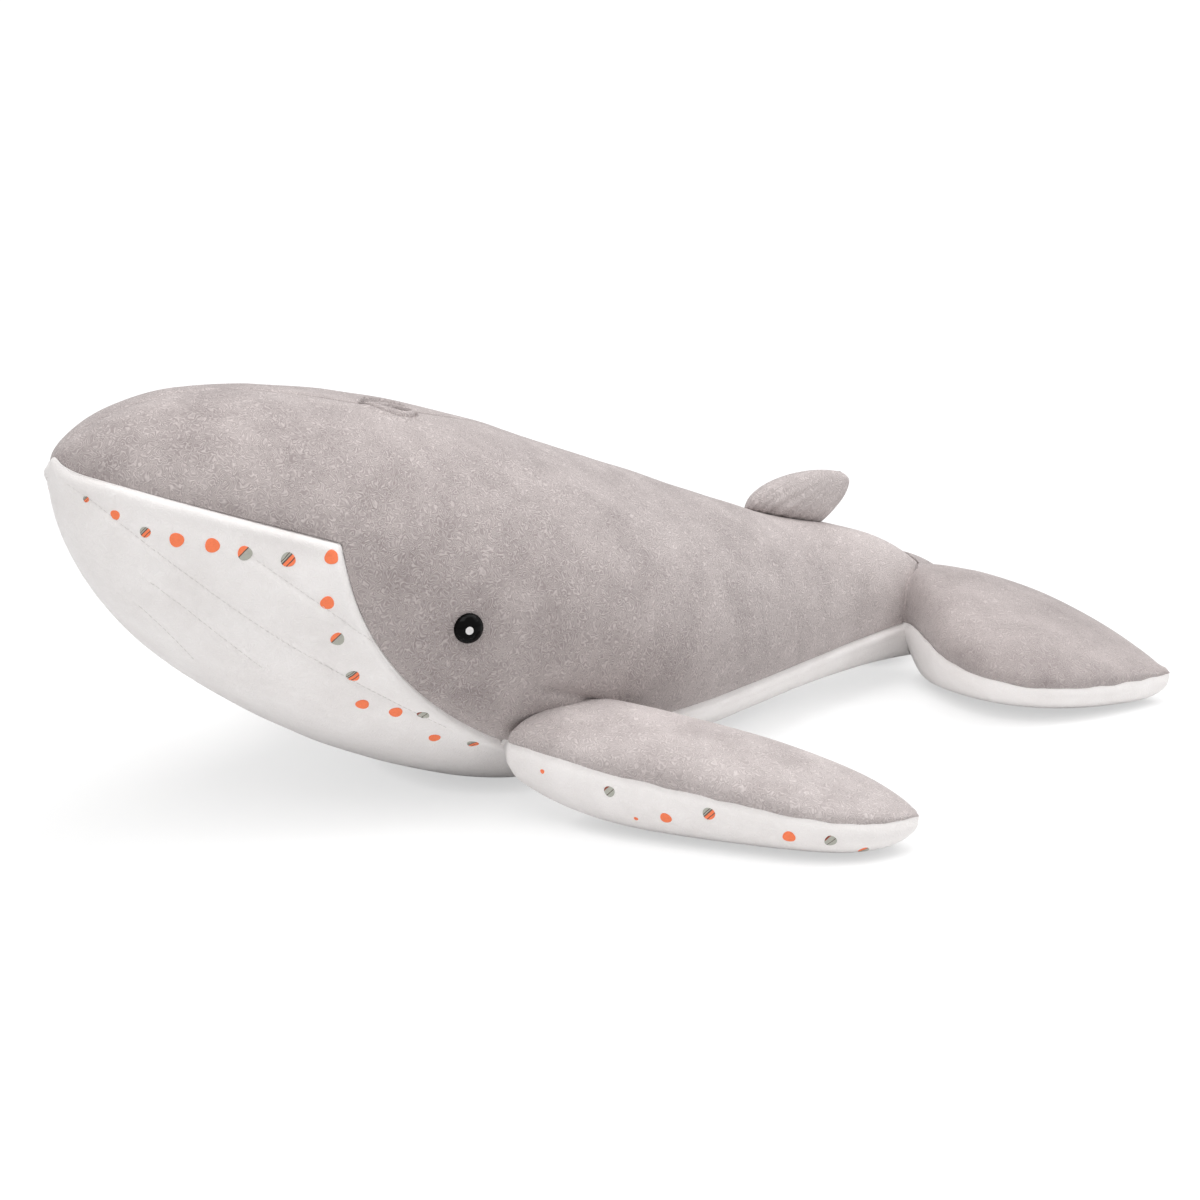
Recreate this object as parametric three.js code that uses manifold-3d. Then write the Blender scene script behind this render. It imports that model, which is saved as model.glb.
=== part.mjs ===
// A stuffed toy whale, lying on its belly with its flippers and flukes spread on the floor.
// Every cut piece of plush, every filling, and every eye and eye washer is a solid of its own.
// Millimetres, +Z up. The head points to -X and the left flipper to -Y.

import * as THREE from "three";
import Module from "manifold-3d";
import { mergeVertices } from "three/addons/utils/BufferGeometryUtils.js";

const wasm = await Module();
wasm.setup();

// Cloth and clearances
const PLUSH = 2.5;
const SEAM_GAP = 0.3;
const FILLING_GAP = 0.5;
const REST_FLAT = 0.5;

// Body: x runs from the snout to the tail seam, z from the floor
const BODY_LENGTH = 560;
const SNOUT_HEIGHT = 191;
const CROWN_AT = 72;
const CROWN_HEIGHT = 218;
const LOIN_AT = 430;
const LOIN_HEIGHT = 113.5;
const LOIN_SLOPE = -0.34;
const TAIL_TOP = 66;
const TAIL_TOP_SLOPE = -0.7;
const TAIL_BOTTOM = 11;
const BELLY_AT = 232;
const BELLY_END_AT = 275;
const BODY_WIDTH = 228;
const WIDEST_AT = 230;
const TAIL_WIDTH = 48;
const TAIL_FACE_SIDE = 29;
const TAIL_FACE_DEPTH = 35;

// Seam between the grey back and the white throat and belly, seen from the side
const MOUTH_FRONT_HEIGHT = 188.5;
const MOUTH_CORNER_AT = 106;
const MOUTH_CORNER_HEIGHT = 153;
const THROAT_DROP = 35;
const THROAT_BEND_AT = 128;
const THROAT_BEND_HEIGHT = 72;
const THROAT_END_AT = 200;
const BELLY_SEAM_HEIGHT = 38;

// Eyes, each held by a washer behind the plush
const EYE_AT = 164.5;
const EYE_HEIGHT = 106.8;
const EYE_DIAMETER = 14;
const EYE_RIM = 0.8;
const EYE_DOME = 4.6;
const SHANK_DIAMETER = 4.5;
const SHANK_LENGTH = 9;
const WASHER_DIAMETER = 19;
const WASHER_THICKNESS = 1.6;

// Blowhole: a pair of sewn folds on the crown
const BLOWHOLE_AT = 186;
const BLOWHOLE_LENGTH = 30;
const BLOWHOLE_SPREAD = 6;
const BLOWHOLE_BOW = 7;
const FOLD_WIDTH = 6;
const FOLD_HEIGHT = 2.6;

// Roots of the limbs: a rolled, sewn edge that swells away at an angle on each side
const ROOT_ROLL = 4;
const ROOT_EDGE = 1.2;

// Flippers
const FLIPPER_AT = 233;
const FLIPPER_SEAT_HEIGHT = 44;
const FLIPPER_TUCK = 1.2;
const FLIPPER_LENGTH = 179;
const FLIPPER_SWEEP = 33;
const FLIPPER_ROOT_LEAD = 36;
const FLIPPER_ROOT_TRAIL = 33;
const FLIPPER_LEAD = 51;
const FLIPPER_TRAIL = 33.5;
const FLIPPER_RISE = 17;
const FLIPPER_ROOT_RISE = 20;
const FLIPPER_FULL_AT = 71;
const FLIPPER_TOP_ANGLE = 40;
const FLIPPER_UNDER_ANGLE = 80;
const FLIPPER_TIP_HEIGHT = 17;

// Flukes
const FLUKE_LENGTH = 152;
const FLUKE_SWEEP = 33.5;
const FLUKE_SEAT_HEIGHT = 38;
const FLUKE_ROOT_CHORD = 38;
const FLUKE_LEAD = 86;
const FLUKE_TRAIL = 51;
const FLUKE_WIDEST_AT = 69;
const FLUKE_RISE = 37;
const FLUKE_ROOT_RISE = 34;
const FLUKE_FULL_AT = 34;
const FLUKE_ROOT_ANGLE = 74;
const FLUKE_TIP_HEIGHT = 17;

// Dorsal fin
const FIN_AT = 427;
const FIN_BASE = 57;
const FIN_HEIGHT = 31;
const FIN_LEAN = 64;
const FIN_REAR_LEAN = 19;
const FIN_THICKNESS = 16;
const FIN_ROOT_ANGLE = 62;

// Colours of the plush and the eyes
const GREY = 0xb4abaa;
const WHITE = 0xebe8e7;
const FIBRE = 0xf4f1ea;
const EYE_BLACK = 0x121212;
const WASHER_WHITE = 0xdedcd6;
const PLUSH_ROUGHNESS = 0.95;
const EYE_ROUGHNESS = 0.08;
const WASHER_ROUGHNESS = 0.5;

// Roundness of the sections, and how each outline swells and tapers
const UPPER_ROUND = 1.95;
const LOWER_ROUND = 2.34;
const HEAD_WAIST = 0.52;
const TAIL_WAIST = 0.43;
const CROWN_CURVE = { fullness: 1.6, roundness: 1.66 };
const CHIN_CURVE = { fullness: 1.32, roundness: 1.96 };
const SIDE_CURVE = { fullness: 1.7, roundness: 1.74 };
const LIMB_UPPER_ROUND = 2;
const LIMB_LOWER_ROUND = 2.5;
const EDGE_TAPER = { sharpness: 4, bluntness: 0.78 };
const CREST_TAPER = { sharpness: 1.6, bluntness: 0.8 };
const POINTED_TAPER = { sharpness: 2, bluntness: 1 };
const RESTING_TAPER = { sharpness: 6, bluntness: 0.6 };
const FIN_LEAD_CURVE = 2.7;
const FIN_THINNING = 3;
const FOLD_TAPER = 0.6;
const BLEND = 4;

// Stations along a form and points round it: the outside finer than the inside
const BODY_MESH = { stations: 20, count: 24 };
const BODY_INNER_MESH = { stations: 14, count: 16 };
const BODY_CROWDING = 1.8;
const LIMB_MESH = { stations: 10, count: 16 };
const LIMB_INNER_MESH = { stations: 6, count: 12 };
const FIN_MESH = { stations: 8, count: 12 };
const FIN_INNER_MESH = { stations: 5, count: 8 };
const FOLD_MESH = { stations: 8, count: 8 };
const THROAT_STEPS = 10;
const DOME_STEPS = 6;
const EYE_SIDES = 16;

const UP = new THREE.Vector3(0, 0, 1);
const BODY_RUN = BODY_LENGTH + TAIL_FACE_DEPTH / 4;
const LOWEST = -REST_FLAT;
const LEFT = -1;
const RIGHT = 1;
const FAR = 4 * BODY_LENGTH;

// Solids

function solid(geometry) {
  const bare = geometry.clone();
  for (const name of Object.keys(bare.attributes)) {
    if (name !== "position") bare.deleteAttribute(name);
  }
  const merged = mergeVertices(bare, 1e-4);
  const corners = [];
  for (let k = 0; k < merged.index.count; k += 3) {
    const [a, b, c] = [0, 1, 2].map((step) => merged.index.getX(k + step));
    if (a !== b && b !== c && c !== a) corners.push(a, b, c);
  }
  const vertProperties = new Float32Array(merged.attributes.position.array);
  const triVerts = new Uint32Array(corners);
  return new wasm.Manifold(new wasm.Mesh({ numProp: 3, vertProperties, triVerts }));
}

function surface(body) {
  const mesh = body.getMesh();
  const geometry = new THREE.BufferGeometry();
  const points = new Float32Array(mesh.vertProperties);
  geometry.setAttribute("position", new THREE.BufferAttribute(points, 3));
  geometry.setIndex(new THREE.BufferAttribute(new Uint32Array(mesh.triVerts), 1));
  geometry.computeVertexNormals();
  return geometry;
}

// Skin over rings of points. A ring of one point closes the end, a wider end ring is closed flat.
function loft(rings) {
  const points = [];
  const faces = [];
  const starts = rings.map((ring) => {
    const start = points.length;
    points.push(...ring);
    return start;
  });
  for (let i = 0; i + 1 < rings.length; i += 1) {
    const count = Math.max(rings[i].length, rings[i + 1].length);
    const near = (j) => starts[i] + (j % rings[i].length);
    const far = (j) => starts[i + 1] + (j % rings[i + 1].length);
    for (let j = 0; j < count; j += 1) {
      if (rings[i].length > 1) faces.push(near(j), near(j + 1), far(j));
      if (rings[i + 1].length > 1) faces.push(near(j + 1), far(j + 1), far(j));
    }
  }
  for (const end of [0, rings.length - 1]) {
    const ring = rings[end];
    if (ring.length === 1) continue;
    const middle = ring.reduce((sum, p) => sum.add(p), new THREE.Vector3()).divideScalar(ring.length);
    const hub = points.push(middle) - 1;
    for (let j = 0; j < ring.length; j += 1) {
      const here = starts[end] + j;
      const next = starts[end] + ((j + 1) % ring.length);
      faces.push(hub, end === 0 ? next : here, end === 0 ? here : next);
    }
  }
  const geometry = new THREE.BufferGeometry().setFromPoints(points);
  geometry.setIndex(faces);
  return solid(geometry);
}

function mirrored(rings) {
  return rings.map((ring) => ring.map((p) => new THREE.Vector3(p.x, -p.y, p.z)).reverse());
}

// Keeps what lies on the side of the point that the direction points to
function keep(body, direction, point) {
  const length = direction.length();
  return body.trimByPlane(direction.toArray(), direction.dot(point) / length);
}

// Left or right half of a skin, short of the seam along the middle
function sideOf(body, side) {
  return keep(body, new THREE.Vector3(0, side, 0), new THREE.Vector3(0, (side * SEAM_GAP) / 2, 0));
}

// Curves

function hermite(u, from, to, slopeFrom, slopeTo) {
  const t = THREE.MathUtils.clamp(u, 0, 1);
  const a = (2 * t ** 3 - 3 * t ** 2 + 1) * from + (t ** 3 - 2 * t ** 2 + t) * slopeFrom;
  return a + (3 * t ** 2 - 2 * t ** 3) * to + (t ** 3 - t ** 2) * slopeTo;
}

// Blunt rise from 0 to 1, round at the start and level at the end
function blunt(u, curve) {
  const t = THREE.MathUtils.clamp(u, 0, 1);
  return (1 - (1 - t) ** curve.fullness) ** (1 / curve.roundness);
}

// A half thickness set back by an inset, never below nothing
function setBack(half, inset) {
  return half > 0 ? (half * half) / (half + inset) : 0;
}

function power(value, exponent) {
  return Math.sign(value) * Math.abs(value) ** exponent;
}

// Body form

function bodyProfile(x) {
  const loinRun = LOIN_AT - CROWN_AT;
  const tailRun = BODY_LENGTH - LOIN_AT;
  const rearRun = BODY_LENGTH - BELLY_END_AT;
  let top = SNOUT_HEIGHT + (CROWN_HEIGHT - SNOUT_HEIGHT) * blunt(x / CROWN_AT, CROWN_CURVE);
  if (x > LOIN_AT) {
    const u = (x - LOIN_AT) / tailRun;
    top = hermite(u, LOIN_HEIGHT, TAIL_TOP, LOIN_SLOPE * tailRun, TAIL_TOP_SLOPE * tailRun);
  } else if (x > CROWN_AT) {
    top = hermite((x - CROWN_AT) / loinRun, CROWN_HEIGHT, LOIN_HEIGHT, 0, LOIN_SLOPE * loinRun);
  }
  let bottom = SNOUT_HEIGHT + (LOWEST - SNOUT_HEIGHT) * blunt(x / BELLY_AT, CHIN_CURVE);
  if (x > BELLY_END_AT) {
    bottom = hermite((x - BELLY_END_AT) / rearRun, LOWEST, TAIL_BOTTOM, 0, -TAIL_BOTTOM);
  }
  let half = (BODY_WIDTH / 2) * blunt(x / WIDEST_AT, SIDE_CURVE);
  if (x > WIDEST_AT) {
    const u = (x - WIDEST_AT) / (BODY_LENGTH - WIDEST_AT);
    half = hermite(u, BODY_WIDTH / 2, TAIL_WIDTH / 2, 0, -TAIL_WIDTH / 2);
  }
  const share = THREE.MathUtils.lerp(HEAD_WAIST, TAIL_WAIST, x / BODY_LENGTH);
  const waist = bottom + (top - bottom) * share;
  return { top, bottom, half, waist };
}

function bodyRing(x, inset, count) {
  const along = ((x - inset) * BODY_RUN) / (BODY_RUN - 2 * inset);
  const { top, bottom, half, waist } = bodyProfile(along);
  const ring = [];
  for (let j = 0; j < count; j += 1) {
    const angle = (2 * Math.PI * j) / count;
    const upper = Math.sin(angle) >= 0;
    const round = 2 / (upper ? UPPER_ROUND : LOWER_ROUND);
    const tall = upper ? top - waist : waist - bottom;
    const y = setBack(half, inset) * power(Math.cos(angle), round);
    const z = waist + setBack(tall, inset) * power(Math.sin(angle), round);
    ring.push(new THREE.Vector3(x, y, z));
  }
  return ring;
}

// The whole body as one swelling form, its tail end cut to a wedge with a face for each fluke
function bodyForm(inset, mesh) {
  const rings = [[new THREE.Vector3(inset, 0, SNOUT_HEIGHT)]];
  for (let i = 1; i <= mesh.stations; i += 1) {
    const share = (i / mesh.stations) ** BODY_CROWDING;
    rings.push(bodyRing(inset + (BODY_RUN - 2 * inset) * share, inset, mesh.count));
  }
  let form = loft(rings);
  for (const side of [LEFT, RIGHT]) {
    const face = tailFace(side);
    const point = face.point.clone().addScaledVector(face.outward, -inset);
    form = keep(form, face.outward.clone().negate(), point);
  }
  return keep(form, UP, new THREE.Vector3(0, 0, inset));
}

function tailFace(side) {
  const along = new THREE.Vector3(TAIL_FACE_DEPTH, -side * TAIL_FACE_SIDE, 0).normalize();
  const outward = new THREE.Vector3(TAIL_FACE_SIDE, side * TAIL_FACE_DEPTH, 0).normalize();
  const x = BODY_LENGTH - TAIL_FACE_DEPTH / 2;
  const point = new THREE.Vector3(x, (side * TAIL_FACE_SIDE) / 2, FLUKE_SEAT_HEIGHT);
  return { along, outward, point };
}

// Point of the body's flank at a height, with the direction straight out of the plush
function flank(x, z, side) {
  const at = (px, pz) => {
    const { top, bottom, half, waist } = bodyProfile(px);
    const upper = pz >= waist;
    const round = upper ? UPPER_ROUND : LOWER_ROUND;
    const tall = upper ? top - waist : waist - bottom;
    const across = half * (1 - (Math.abs(pz - waist) / tall) ** round) ** (1 / round);
    return new THREE.Vector3(px, side * across, pz);
  };
  const point = at(x, z);
  const alongX = at(x + 1, z).sub(point);
  const alongZ = at(x, z + 1).sub(point);
  const outward = alongZ.clone().cross(alongX).normalize();
  if (outward.y * side < 0) outward.negate();
  return { point, outward, along: alongX.normalize() };
}

// Height of the back's surface over a point of the plan
function backHeight(x, y) {
  const { top, half, waist } = bodyProfile(x);
  return waist + (top - waist) * (1 - (Math.abs(y) / half) ** UPPER_ROUND) ** (1 / UPPER_ROUND);
}

// Everything below the seam line from the mouth to the tail, as a plate across the body
function belowSeam(clearance) {
  const shape = new THREE.Shape();
  const slope = (MOUTH_FRONT_HEIGHT - MOUTH_CORNER_HEIGHT) / MOUTH_CORNER_AT;
  const eased = (value) => value + clearance;
  shape.moveTo(-FAR, eased(MOUTH_FRONT_HEIGHT + FAR * slope));
  shape.lineTo(eased(MOUTH_CORNER_AT), eased(MOUTH_CORNER_HEIGHT));
  shape.bezierCurveTo(
    eased(MOUTH_CORNER_AT),
    eased(MOUTH_CORNER_HEIGHT - THROAT_DROP),
    eased(THROAT_BEND_AT),
    eased(THROAT_BEND_HEIGHT),
    eased(THROAT_END_AT),
    eased(BELLY_SEAM_HEIGHT),
  );
  shape.lineTo(FAR, eased(BELLY_SEAM_HEIGHT));
  shape.lineTo(FAR, -FAR);
  shape.lineTo(-FAR, -FAR);
  const depth = 2 * BODY_WIDTH;
  const options = { depth, bevelEnabled: false, curveSegments: THROAT_STEPS };
  const plate = new THREE.ExtrudeGeometry(shape, options);
  plate.rotateX(Math.PI / 2);
  plate.translate(0, BODY_WIDTH, 0);
  return solid(plate);
}

// Limbs: each swells from a rounded root, which lies against the body, to a tapered tip

// Half thickness that the root allows at a distance from its edge
function rootRamp(x, degrees) {
  if (x < ROOT_ROLL) return Math.max(Math.sqrt(ROOT_ROLL ** 2 - (ROOT_ROLL - x) ** 2), ROOT_EDGE);
  return ROOT_ROLL + (x - ROOT_ROLL) * Math.tan(THREE.MathUtils.degToRad(degrees));
}

// The smaller of two sizes, with a rounded change from one to the other
function softMin(a, b) {
  return (a ** -BLEND + b ** -BLEND) ** (-1 / BLEND);
}

// From the size at the root to the full size, then a taper that ends blunt at the tip
function swell(x, length, root, full, fullAt, taper) {
  if (x < fullAt) return root + (full - root) * Math.sin((Math.PI / 2) * (x / fullAt));
  const t = Math.min((x - fullAt) / (length - fullAt), 1);
  return full * (1 - t ** taper.sharpness) ** taper.bluntness;
}

function limbRing(limb, x, inset, count) {
  const along = ((x - inset) * limb.length) / (limb.length - 2 * inset);
  const middle = limb.axis.clone().addScaledVector(limb.span, x - ROOT_ROLL);
  middle.z = limb.seamHeight(x);
  const turn = THREE.MathUtils.smoothstep(along, 0, limb.fullAt);
  const chord = limb.rootChord.clone().lerp(limb.tipChord, turn).normalize();
  const up = setBack(limb.upper(along), inset);
  const down = setBack(limb.lower(along), inset);
  const lead = setBack(limb.lead(along), inset);
  const trail = setBack(limb.trail(along), inset);
  const ring = [];
  for (let j = 0; j < count; j += 1) {
    const angle = (2 * Math.PI * j) / count;
    const [across, rise] = [Math.cos(angle), Math.sin(angle)];
    const round = 2 / (rise >= 0 ? LIMB_UPPER_ROUND : LIMB_LOWER_ROUND);
    const offset = power(across, round) * (across >= 0 ? trail : lead);
    const height = power(rise, round) * (rise >= 0 ? up : down);
    ring.push(middle.clone().addScaledVector(chord, offset).addScaledVector(UP, height));
  }
  return ring;
}

function limbRings(limb, inset, mesh) {
  const rings = [];
  const run = limb.length - 2 * inset;
  for (let i = 0; i < mesh.stations; i += 1) {
    const share = (1 - Math.cos((Math.PI * i) / mesh.stations)) / 2;
    rings.push(limbRing(limb, inset + run * share, inset, mesh.count));
  }
  const tip = limb.axis.clone().addScaledVector(limb.span, limb.length - inset - ROOT_ROLL);
  tip.z = limb.seamHeight(limb.length - inset);
  rings.push([tip]);
  return rings;
}

// What flippers and flukes share: they leave the body at a seat and are swept back
function limbAt(seat, sweepDegrees, length, tipHeight, fullAt) {
  const standOff = Math.hypot(ROOT_ROLL, ROOT_EDGE) + SEAM_GAP;
  const axis = seat.point.clone().addScaledVector(seat.outward, standOff);
  const sweep = THREE.MathUtils.degToRad(sweepDegrees);
  const drop = (axis.z - tipHeight) / (length - ROOT_ROLL);
  return {
    axis,
    length,
    drop,
    fullAt,
    span: new THREE.Vector3(Math.sin(sweep), -Math.cos(sweep), 0),
    rootChord: seat.along.clone().setZ(0).normalize(),
    tipChord: new THREE.Vector3(Math.cos(sweep), Math.sin(sweep), 0),
    seamHeight: (x) => axis.z - (x - ROOT_ROLL) * drop,
  };
}

// Half thickness below the seam: the underside lies on the floor between the root and the tip
function restingHalf(limb, x, rootAngle) {
  const reach = limb.seamHeight(x) - LOWEST;
  const resting = swell(x, limb.length, reach, reach, limb.fullAt, RESTING_TAPER);
  return softMin(rootRamp(x, rootAngle), resting);
}

function flipperLimb() {
  const seat = flank(FLIPPER_AT, FLIPPER_SEAT_HEIGHT, LEFT);
  seat.point.addScaledVector(seat.outward, -FLIPPER_TUCK);
  const limb = limbAt(seat, FLIPPER_SWEEP, FLIPPER_LENGTH, FLIPPER_TIP_HEIGHT, FLIPPER_FULL_AT);
  const grow = (x, root, full, taper) => swell(x, limb.length, root, full, FLIPPER_FULL_AT, taper);
  const crest = (x) => grow(x, FLIPPER_ROOT_RISE, FLIPPER_RISE, CREST_TAPER);
  limb.lead = (x) => grow(x, FLIPPER_ROOT_LEAD, FLIPPER_LEAD, EDGE_TAPER);
  limb.trail = (x) => grow(x, FLIPPER_ROOT_TRAIL, FLIPPER_TRAIL, EDGE_TAPER);
  limb.upper = (x) => softMin(rootRamp(x, FLIPPER_TOP_ANGLE), crest(x));
  limb.lower = (x) => restingHalf(limb, x, FLIPPER_UNDER_ANGLE);
  return limb;
}

function flukeLimb() {
  const limb = limbAt(tailFace(LEFT), FLUKE_SWEEP, FLUKE_LENGTH, FLUKE_TIP_HEIGHT, FLUKE_FULL_AT);
  const root = FLUKE_ROOT_CHORD / 2;
  const grow = (x, from, full, fullAt, taper) => swell(x, limb.length, from, full, fullAt, taper);
  const crest = (x) => grow(x, FLUKE_ROOT_RISE, FLUKE_RISE, FLUKE_FULL_AT, CREST_TAPER);
  limb.lead = (x) => grow(x, root, FLUKE_LEAD, FLUKE_WIDEST_AT, POINTED_TAPER);
  limb.trail = (x) => grow(x, root, FLUKE_TRAIL, FLUKE_WIDEST_AT, POINTED_TAPER);
  limb.upper = (x) => softMin(rootRamp(x, FLUKE_ROOT_ANGLE), crest(x));
  limb.lower = (x) => restingHalf(limb, x, FLUKE_ROOT_ANGLE);
  return limb;
}

// Top panel, underside panel and filling of a limb, on the left or mirrored to the right
function limbPieces(limb, side) {
  const turned = (rings) => loft(side < 0 ? rings : mirrored(rings));
  const outer = keep(turned(limbRings(limb, 0, LIMB_MESH)), UP, new THREE.Vector3());
  const hollow = turned(limbRings(limb, PLUSH, LIMB_INNER_MESH));
  const filling = turned(limbRings(limb, PLUSH + FILLING_GAP, LIMB_INNER_MESH));
  const skin = outer.subtract(hollow);
  const tilt = limb.span.clone().multiplyScalar(limb.drop);
  const up = new THREE.Vector3(tilt.x, -side * tilt.y, 1).normalize();
  const onSeam = new THREE.Vector3(limb.axis.x, -side * limb.axis.y, limb.axis.z);
  const above = onSeam.clone().addScaledVector(up, SEAM_GAP / 2);
  const below = onSeam.clone().addScaledVector(up, -SEAM_GAP / 2);
  return {
    top: keep(skin, up, above),
    underside: keep(skin, up.clone().negate(), below),
    filling,
  };
}

// Dorsal fin

function finPieces() {
  const rear = FIN_AT + FIN_BASE;
  const front = new THREE.Vector3(FIN_AT, 0, backHeight(FIN_AT, 0));
  const back = new THREE.Vector3(rear, 0, backHeight(rear, 0));
  const along = back.clone().sub(front).normalize();
  const up = new THREE.Vector3(-along.z, 0, along.x);
  const across = new THREE.Vector3(0, 1, 0);
  // The back is crowned between the two ends, so the fin's foot clears its highest point
  const crown = backHeight((FIN_AT + rear) / 2, 0) - (front.z + back.z) / 2;
  const foot = front.clone().addScaledVector(up, Math.max(crown, 0) + SEAM_GAP);
  const ring = (height, inset, count) => {
    const run = FIN_HEIGHT - 2 * inset;
    const share = (height - inset) / run;
    const rise = share * FIN_HEIGHT;
    const lead = FIN_LEAN * share ** FIN_LEAD_CURVE;
    const trail = FIN_BASE + FIN_REAR_LEAN * Math.sin((Math.PI / 2) * share);
    const half = setBack((trail - lead) / 2, inset);
    const bulge = (FIN_THICKNESS / 2) * Math.sqrt(1 - share ** FIN_THINNING);
    const thick = setBack(softMin(rootRamp(rise, FIN_ROOT_ANGLE), bulge), inset);
    const points = [];
    for (let j = 0; j < count; j += 1) {
      const angle = (2 * Math.PI * j) / count;
      const point = foot.clone().addScaledVector(up, height);
      point.addScaledVector(along, (lead + trail) / 2 + half * Math.cos(angle));
      points.push(point.addScaledVector(across, thick * Math.sin(angle)));
    }
    return points;
  };
  const form = (inset, mesh) => {
    const rings = [];
    for (let i = 0; i < mesh.stations; i += 1) {
      const share = Math.sin((Math.PI / 2) * (i / mesh.stations));
      rings.push(ring(inset + (FIN_HEIGHT - 2 * inset) * share, inset, mesh.count));
    }
    const tip = foot.clone().addScaledVector(up, FIN_HEIGHT - inset);
    rings.push([tip.addScaledVector(along, (FIN_LEAN + FIN_BASE + FIN_REAR_LEAN) / 2)]);
    return loft(rings);
  };
  const skin = form(0, FIN_MESH).subtract(form(PLUSH, FIN_INNER_MESH));
  const filling = form(PLUSH + FILLING_GAP, FIN_INNER_MESH);
  return { left: sideOf(skin, LEFT), right: sideOf(skin, RIGHT), filling };
}

// Eyes

// Turns a revolved piece so that its axis points straight out of the flank at the eye
function atEye(geometry, side) {
  const { point, outward } = flank(EYE_AT, EYE_HEIGHT, side);
  const turn = new THREE.Quaternion().setFromUnitVectors(new THREE.Vector3(0, 1, 0), outward);
  return geometry.applyQuaternion(turn).translate(point.x, point.y, point.z);
}

function eyeGeometry(side) {
  const radius = EYE_DIAMETER / 2;
  const shank = SHANK_DIAMETER / 2;
  const profile = [
    new THREE.Vector2(0, -SHANK_LENGTH),
    new THREE.Vector2(shank, -SHANK_LENGTH),
    new THREE.Vector2(shank, SEAM_GAP),
    new THREE.Vector2(radius, SEAM_GAP),
  ];
  for (let i = 0; i <= DOME_STEPS; i += 1) {
    const angle = (Math.PI / 2) * (i / DOME_STEPS);
    const lift = SEAM_GAP + EYE_RIM + EYE_DOME * Math.sin(angle);
    profile.push(new THREE.Vector2(i === DOME_STEPS ? 0 : radius * Math.cos(angle), lift));
  }
  return atEye(new THREE.LatheGeometry(profile, EYE_SIDES), side);
}

function washerGeometry(side) {
  const face = -PLUSH - SEAM_GAP;
  const rear = face - WASHER_THICKNESS;
  const bore = SHANK_DIAMETER / 2 + SEAM_GAP;
  const rim = WASHER_DIAMETER / 2;
  const corners = [[bore, rear], [rim, rear], [rim, face], [bore, face], [bore, rear]];
  const profile = corners.map(([radius, y]) => new THREE.Vector2(radius, y));
  return atEye(new THREE.LatheGeometry(profile, EYE_SIDES), side);
}

// Cylinder on the eye's axis, for the seat and the hole in the plush and the pocket in the filling
function eyeCylinder(diameter, from, to, side) {
  const radius = diameter / 2;
  const cylinder = new THREE.CylinderGeometry(radius, radius, to - from, EYE_SIDES);
  cylinder.translate(0, (from + to) / 2, 0);
  return solid(atEye(cylinder, side));
}

// Blowhole

// One sewn fold: a tapered bead bowed outwards on the crown, cut to lie on the plush
function blowholeFold(side, body) {
  const { stations, count } = FOLD_MESH;
  const rings = [];
  for (let i = 0; i <= stations; i += 1) {
    const t = i / stations;
    const x = BLOWHOLE_AT + BLOWHOLE_LENGTH * (t - 0.5);
    const y = side * (BLOWHOLE_SPREAD + BLOWHOLE_BOW * Math.sin(Math.PI * t));
    const middle = new THREE.Vector3(x, y, backHeight(x, y));
    const size = Math.sin(Math.PI * t) ** FOLD_TAPER;
    if (i === 0 || i === stations) {
      rings.push([middle]);
      continue;
    }
    const ring = [];
    for (let j = 0; j < count; j += 1) {
      const angle = (2 * Math.PI * j) / count;
      const across = (FOLD_WIDTH / 2) * Math.cos(angle);
      const offset = new THREE.Vector3(0, across, FOLD_HEIGHT * Math.sin(angle));
      ring.push(middle.clone().addScaledVector(offset, size));
    }
    rings.push(ring);
  }
  return loft(rings).subtract(body);
}

// Assembly

function matter(color, roughness) {
  return new THREE.MeshStandardMaterial({ color, roughness, metalness: 0 });
}

function plush(color) {
  return matter(color, PLUSH_ROUGHNESS);
}

function piece(name, body, material) {
  const mesh = new THREE.Mesh(surface(body), material);
  mesh.name = name;
  return mesh;
}

const sides = [["left", LEFT], ["right", RIGHT]];
const whale = new THREE.Group();

const skin = bodyForm(0, BODY_MESH).subtract(bodyForm(PLUSH, BODY_INNER_MESH));
const back = skin.subtract(belowSeam(SEAM_GAP));
whale.add(piece("belly_panel", skin.intersect(belowSeam(0)), plush(WHITE)));

// The plush lies flat between an eye and its washer, and the filling leaves room for both
let bodyFilling = bodyForm(PLUSH + FILLING_GAP, BODY_INNER_MESH);
for (const [label, side] of sides) {
  const washerRear = -PLUSH - SEAM_GAP - WASHER_THICKNESS;
  const eyeSeat = eyeCylinder(EYE_DIAMETER, -PLUSH, 0, side);
  const washerSeat = eyeCylinder(WASHER_DIAMETER + 2 * SEAM_GAP, washerRear, -PLUSH, side);
  const shankHole = eyeCylinder(SHANK_DIAMETER + 2 * SEAM_GAP, -SHANK_LENGTH, PLUSH, side);
  const panel = sideOf(back, side).add(eyeSeat).subtract(washerSeat).subtract(shankHole);
  whale.add(piece(`back_panel_${label}`, panel, plush(GREY)));
  whale.add(piece(`eye_${label}`, solid(eyeGeometry(side)), matter(EYE_BLACK, EYE_ROUGHNESS)));
  const washer = solid(washerGeometry(side));
  whale.add(piece(`eye_washer_${label}`, washer, matter(WASHER_WHITE, WASHER_ROUGHNESS)));
  const pocketFloor = Math.min(-SHANK_LENGTH, washerRear) - FILLING_GAP;
  const pocket = eyeCylinder(WASHER_DIAMETER + 2 * FILLING_GAP, pocketFloor, PLUSH, side);
  bodyFilling = bodyFilling.subtract(pocket);
}
whale.add(piece("body_filling", bodyFilling, plush(FIBRE)));

const grownBody = bodyForm(-SEAM_GAP, BODY_MESH);
for (const [label, side] of sides) {
  whale.add(piece(`blowhole_fold_${label}`, blowholeFold(side, grownBody), plush(GREY)));
}

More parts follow.
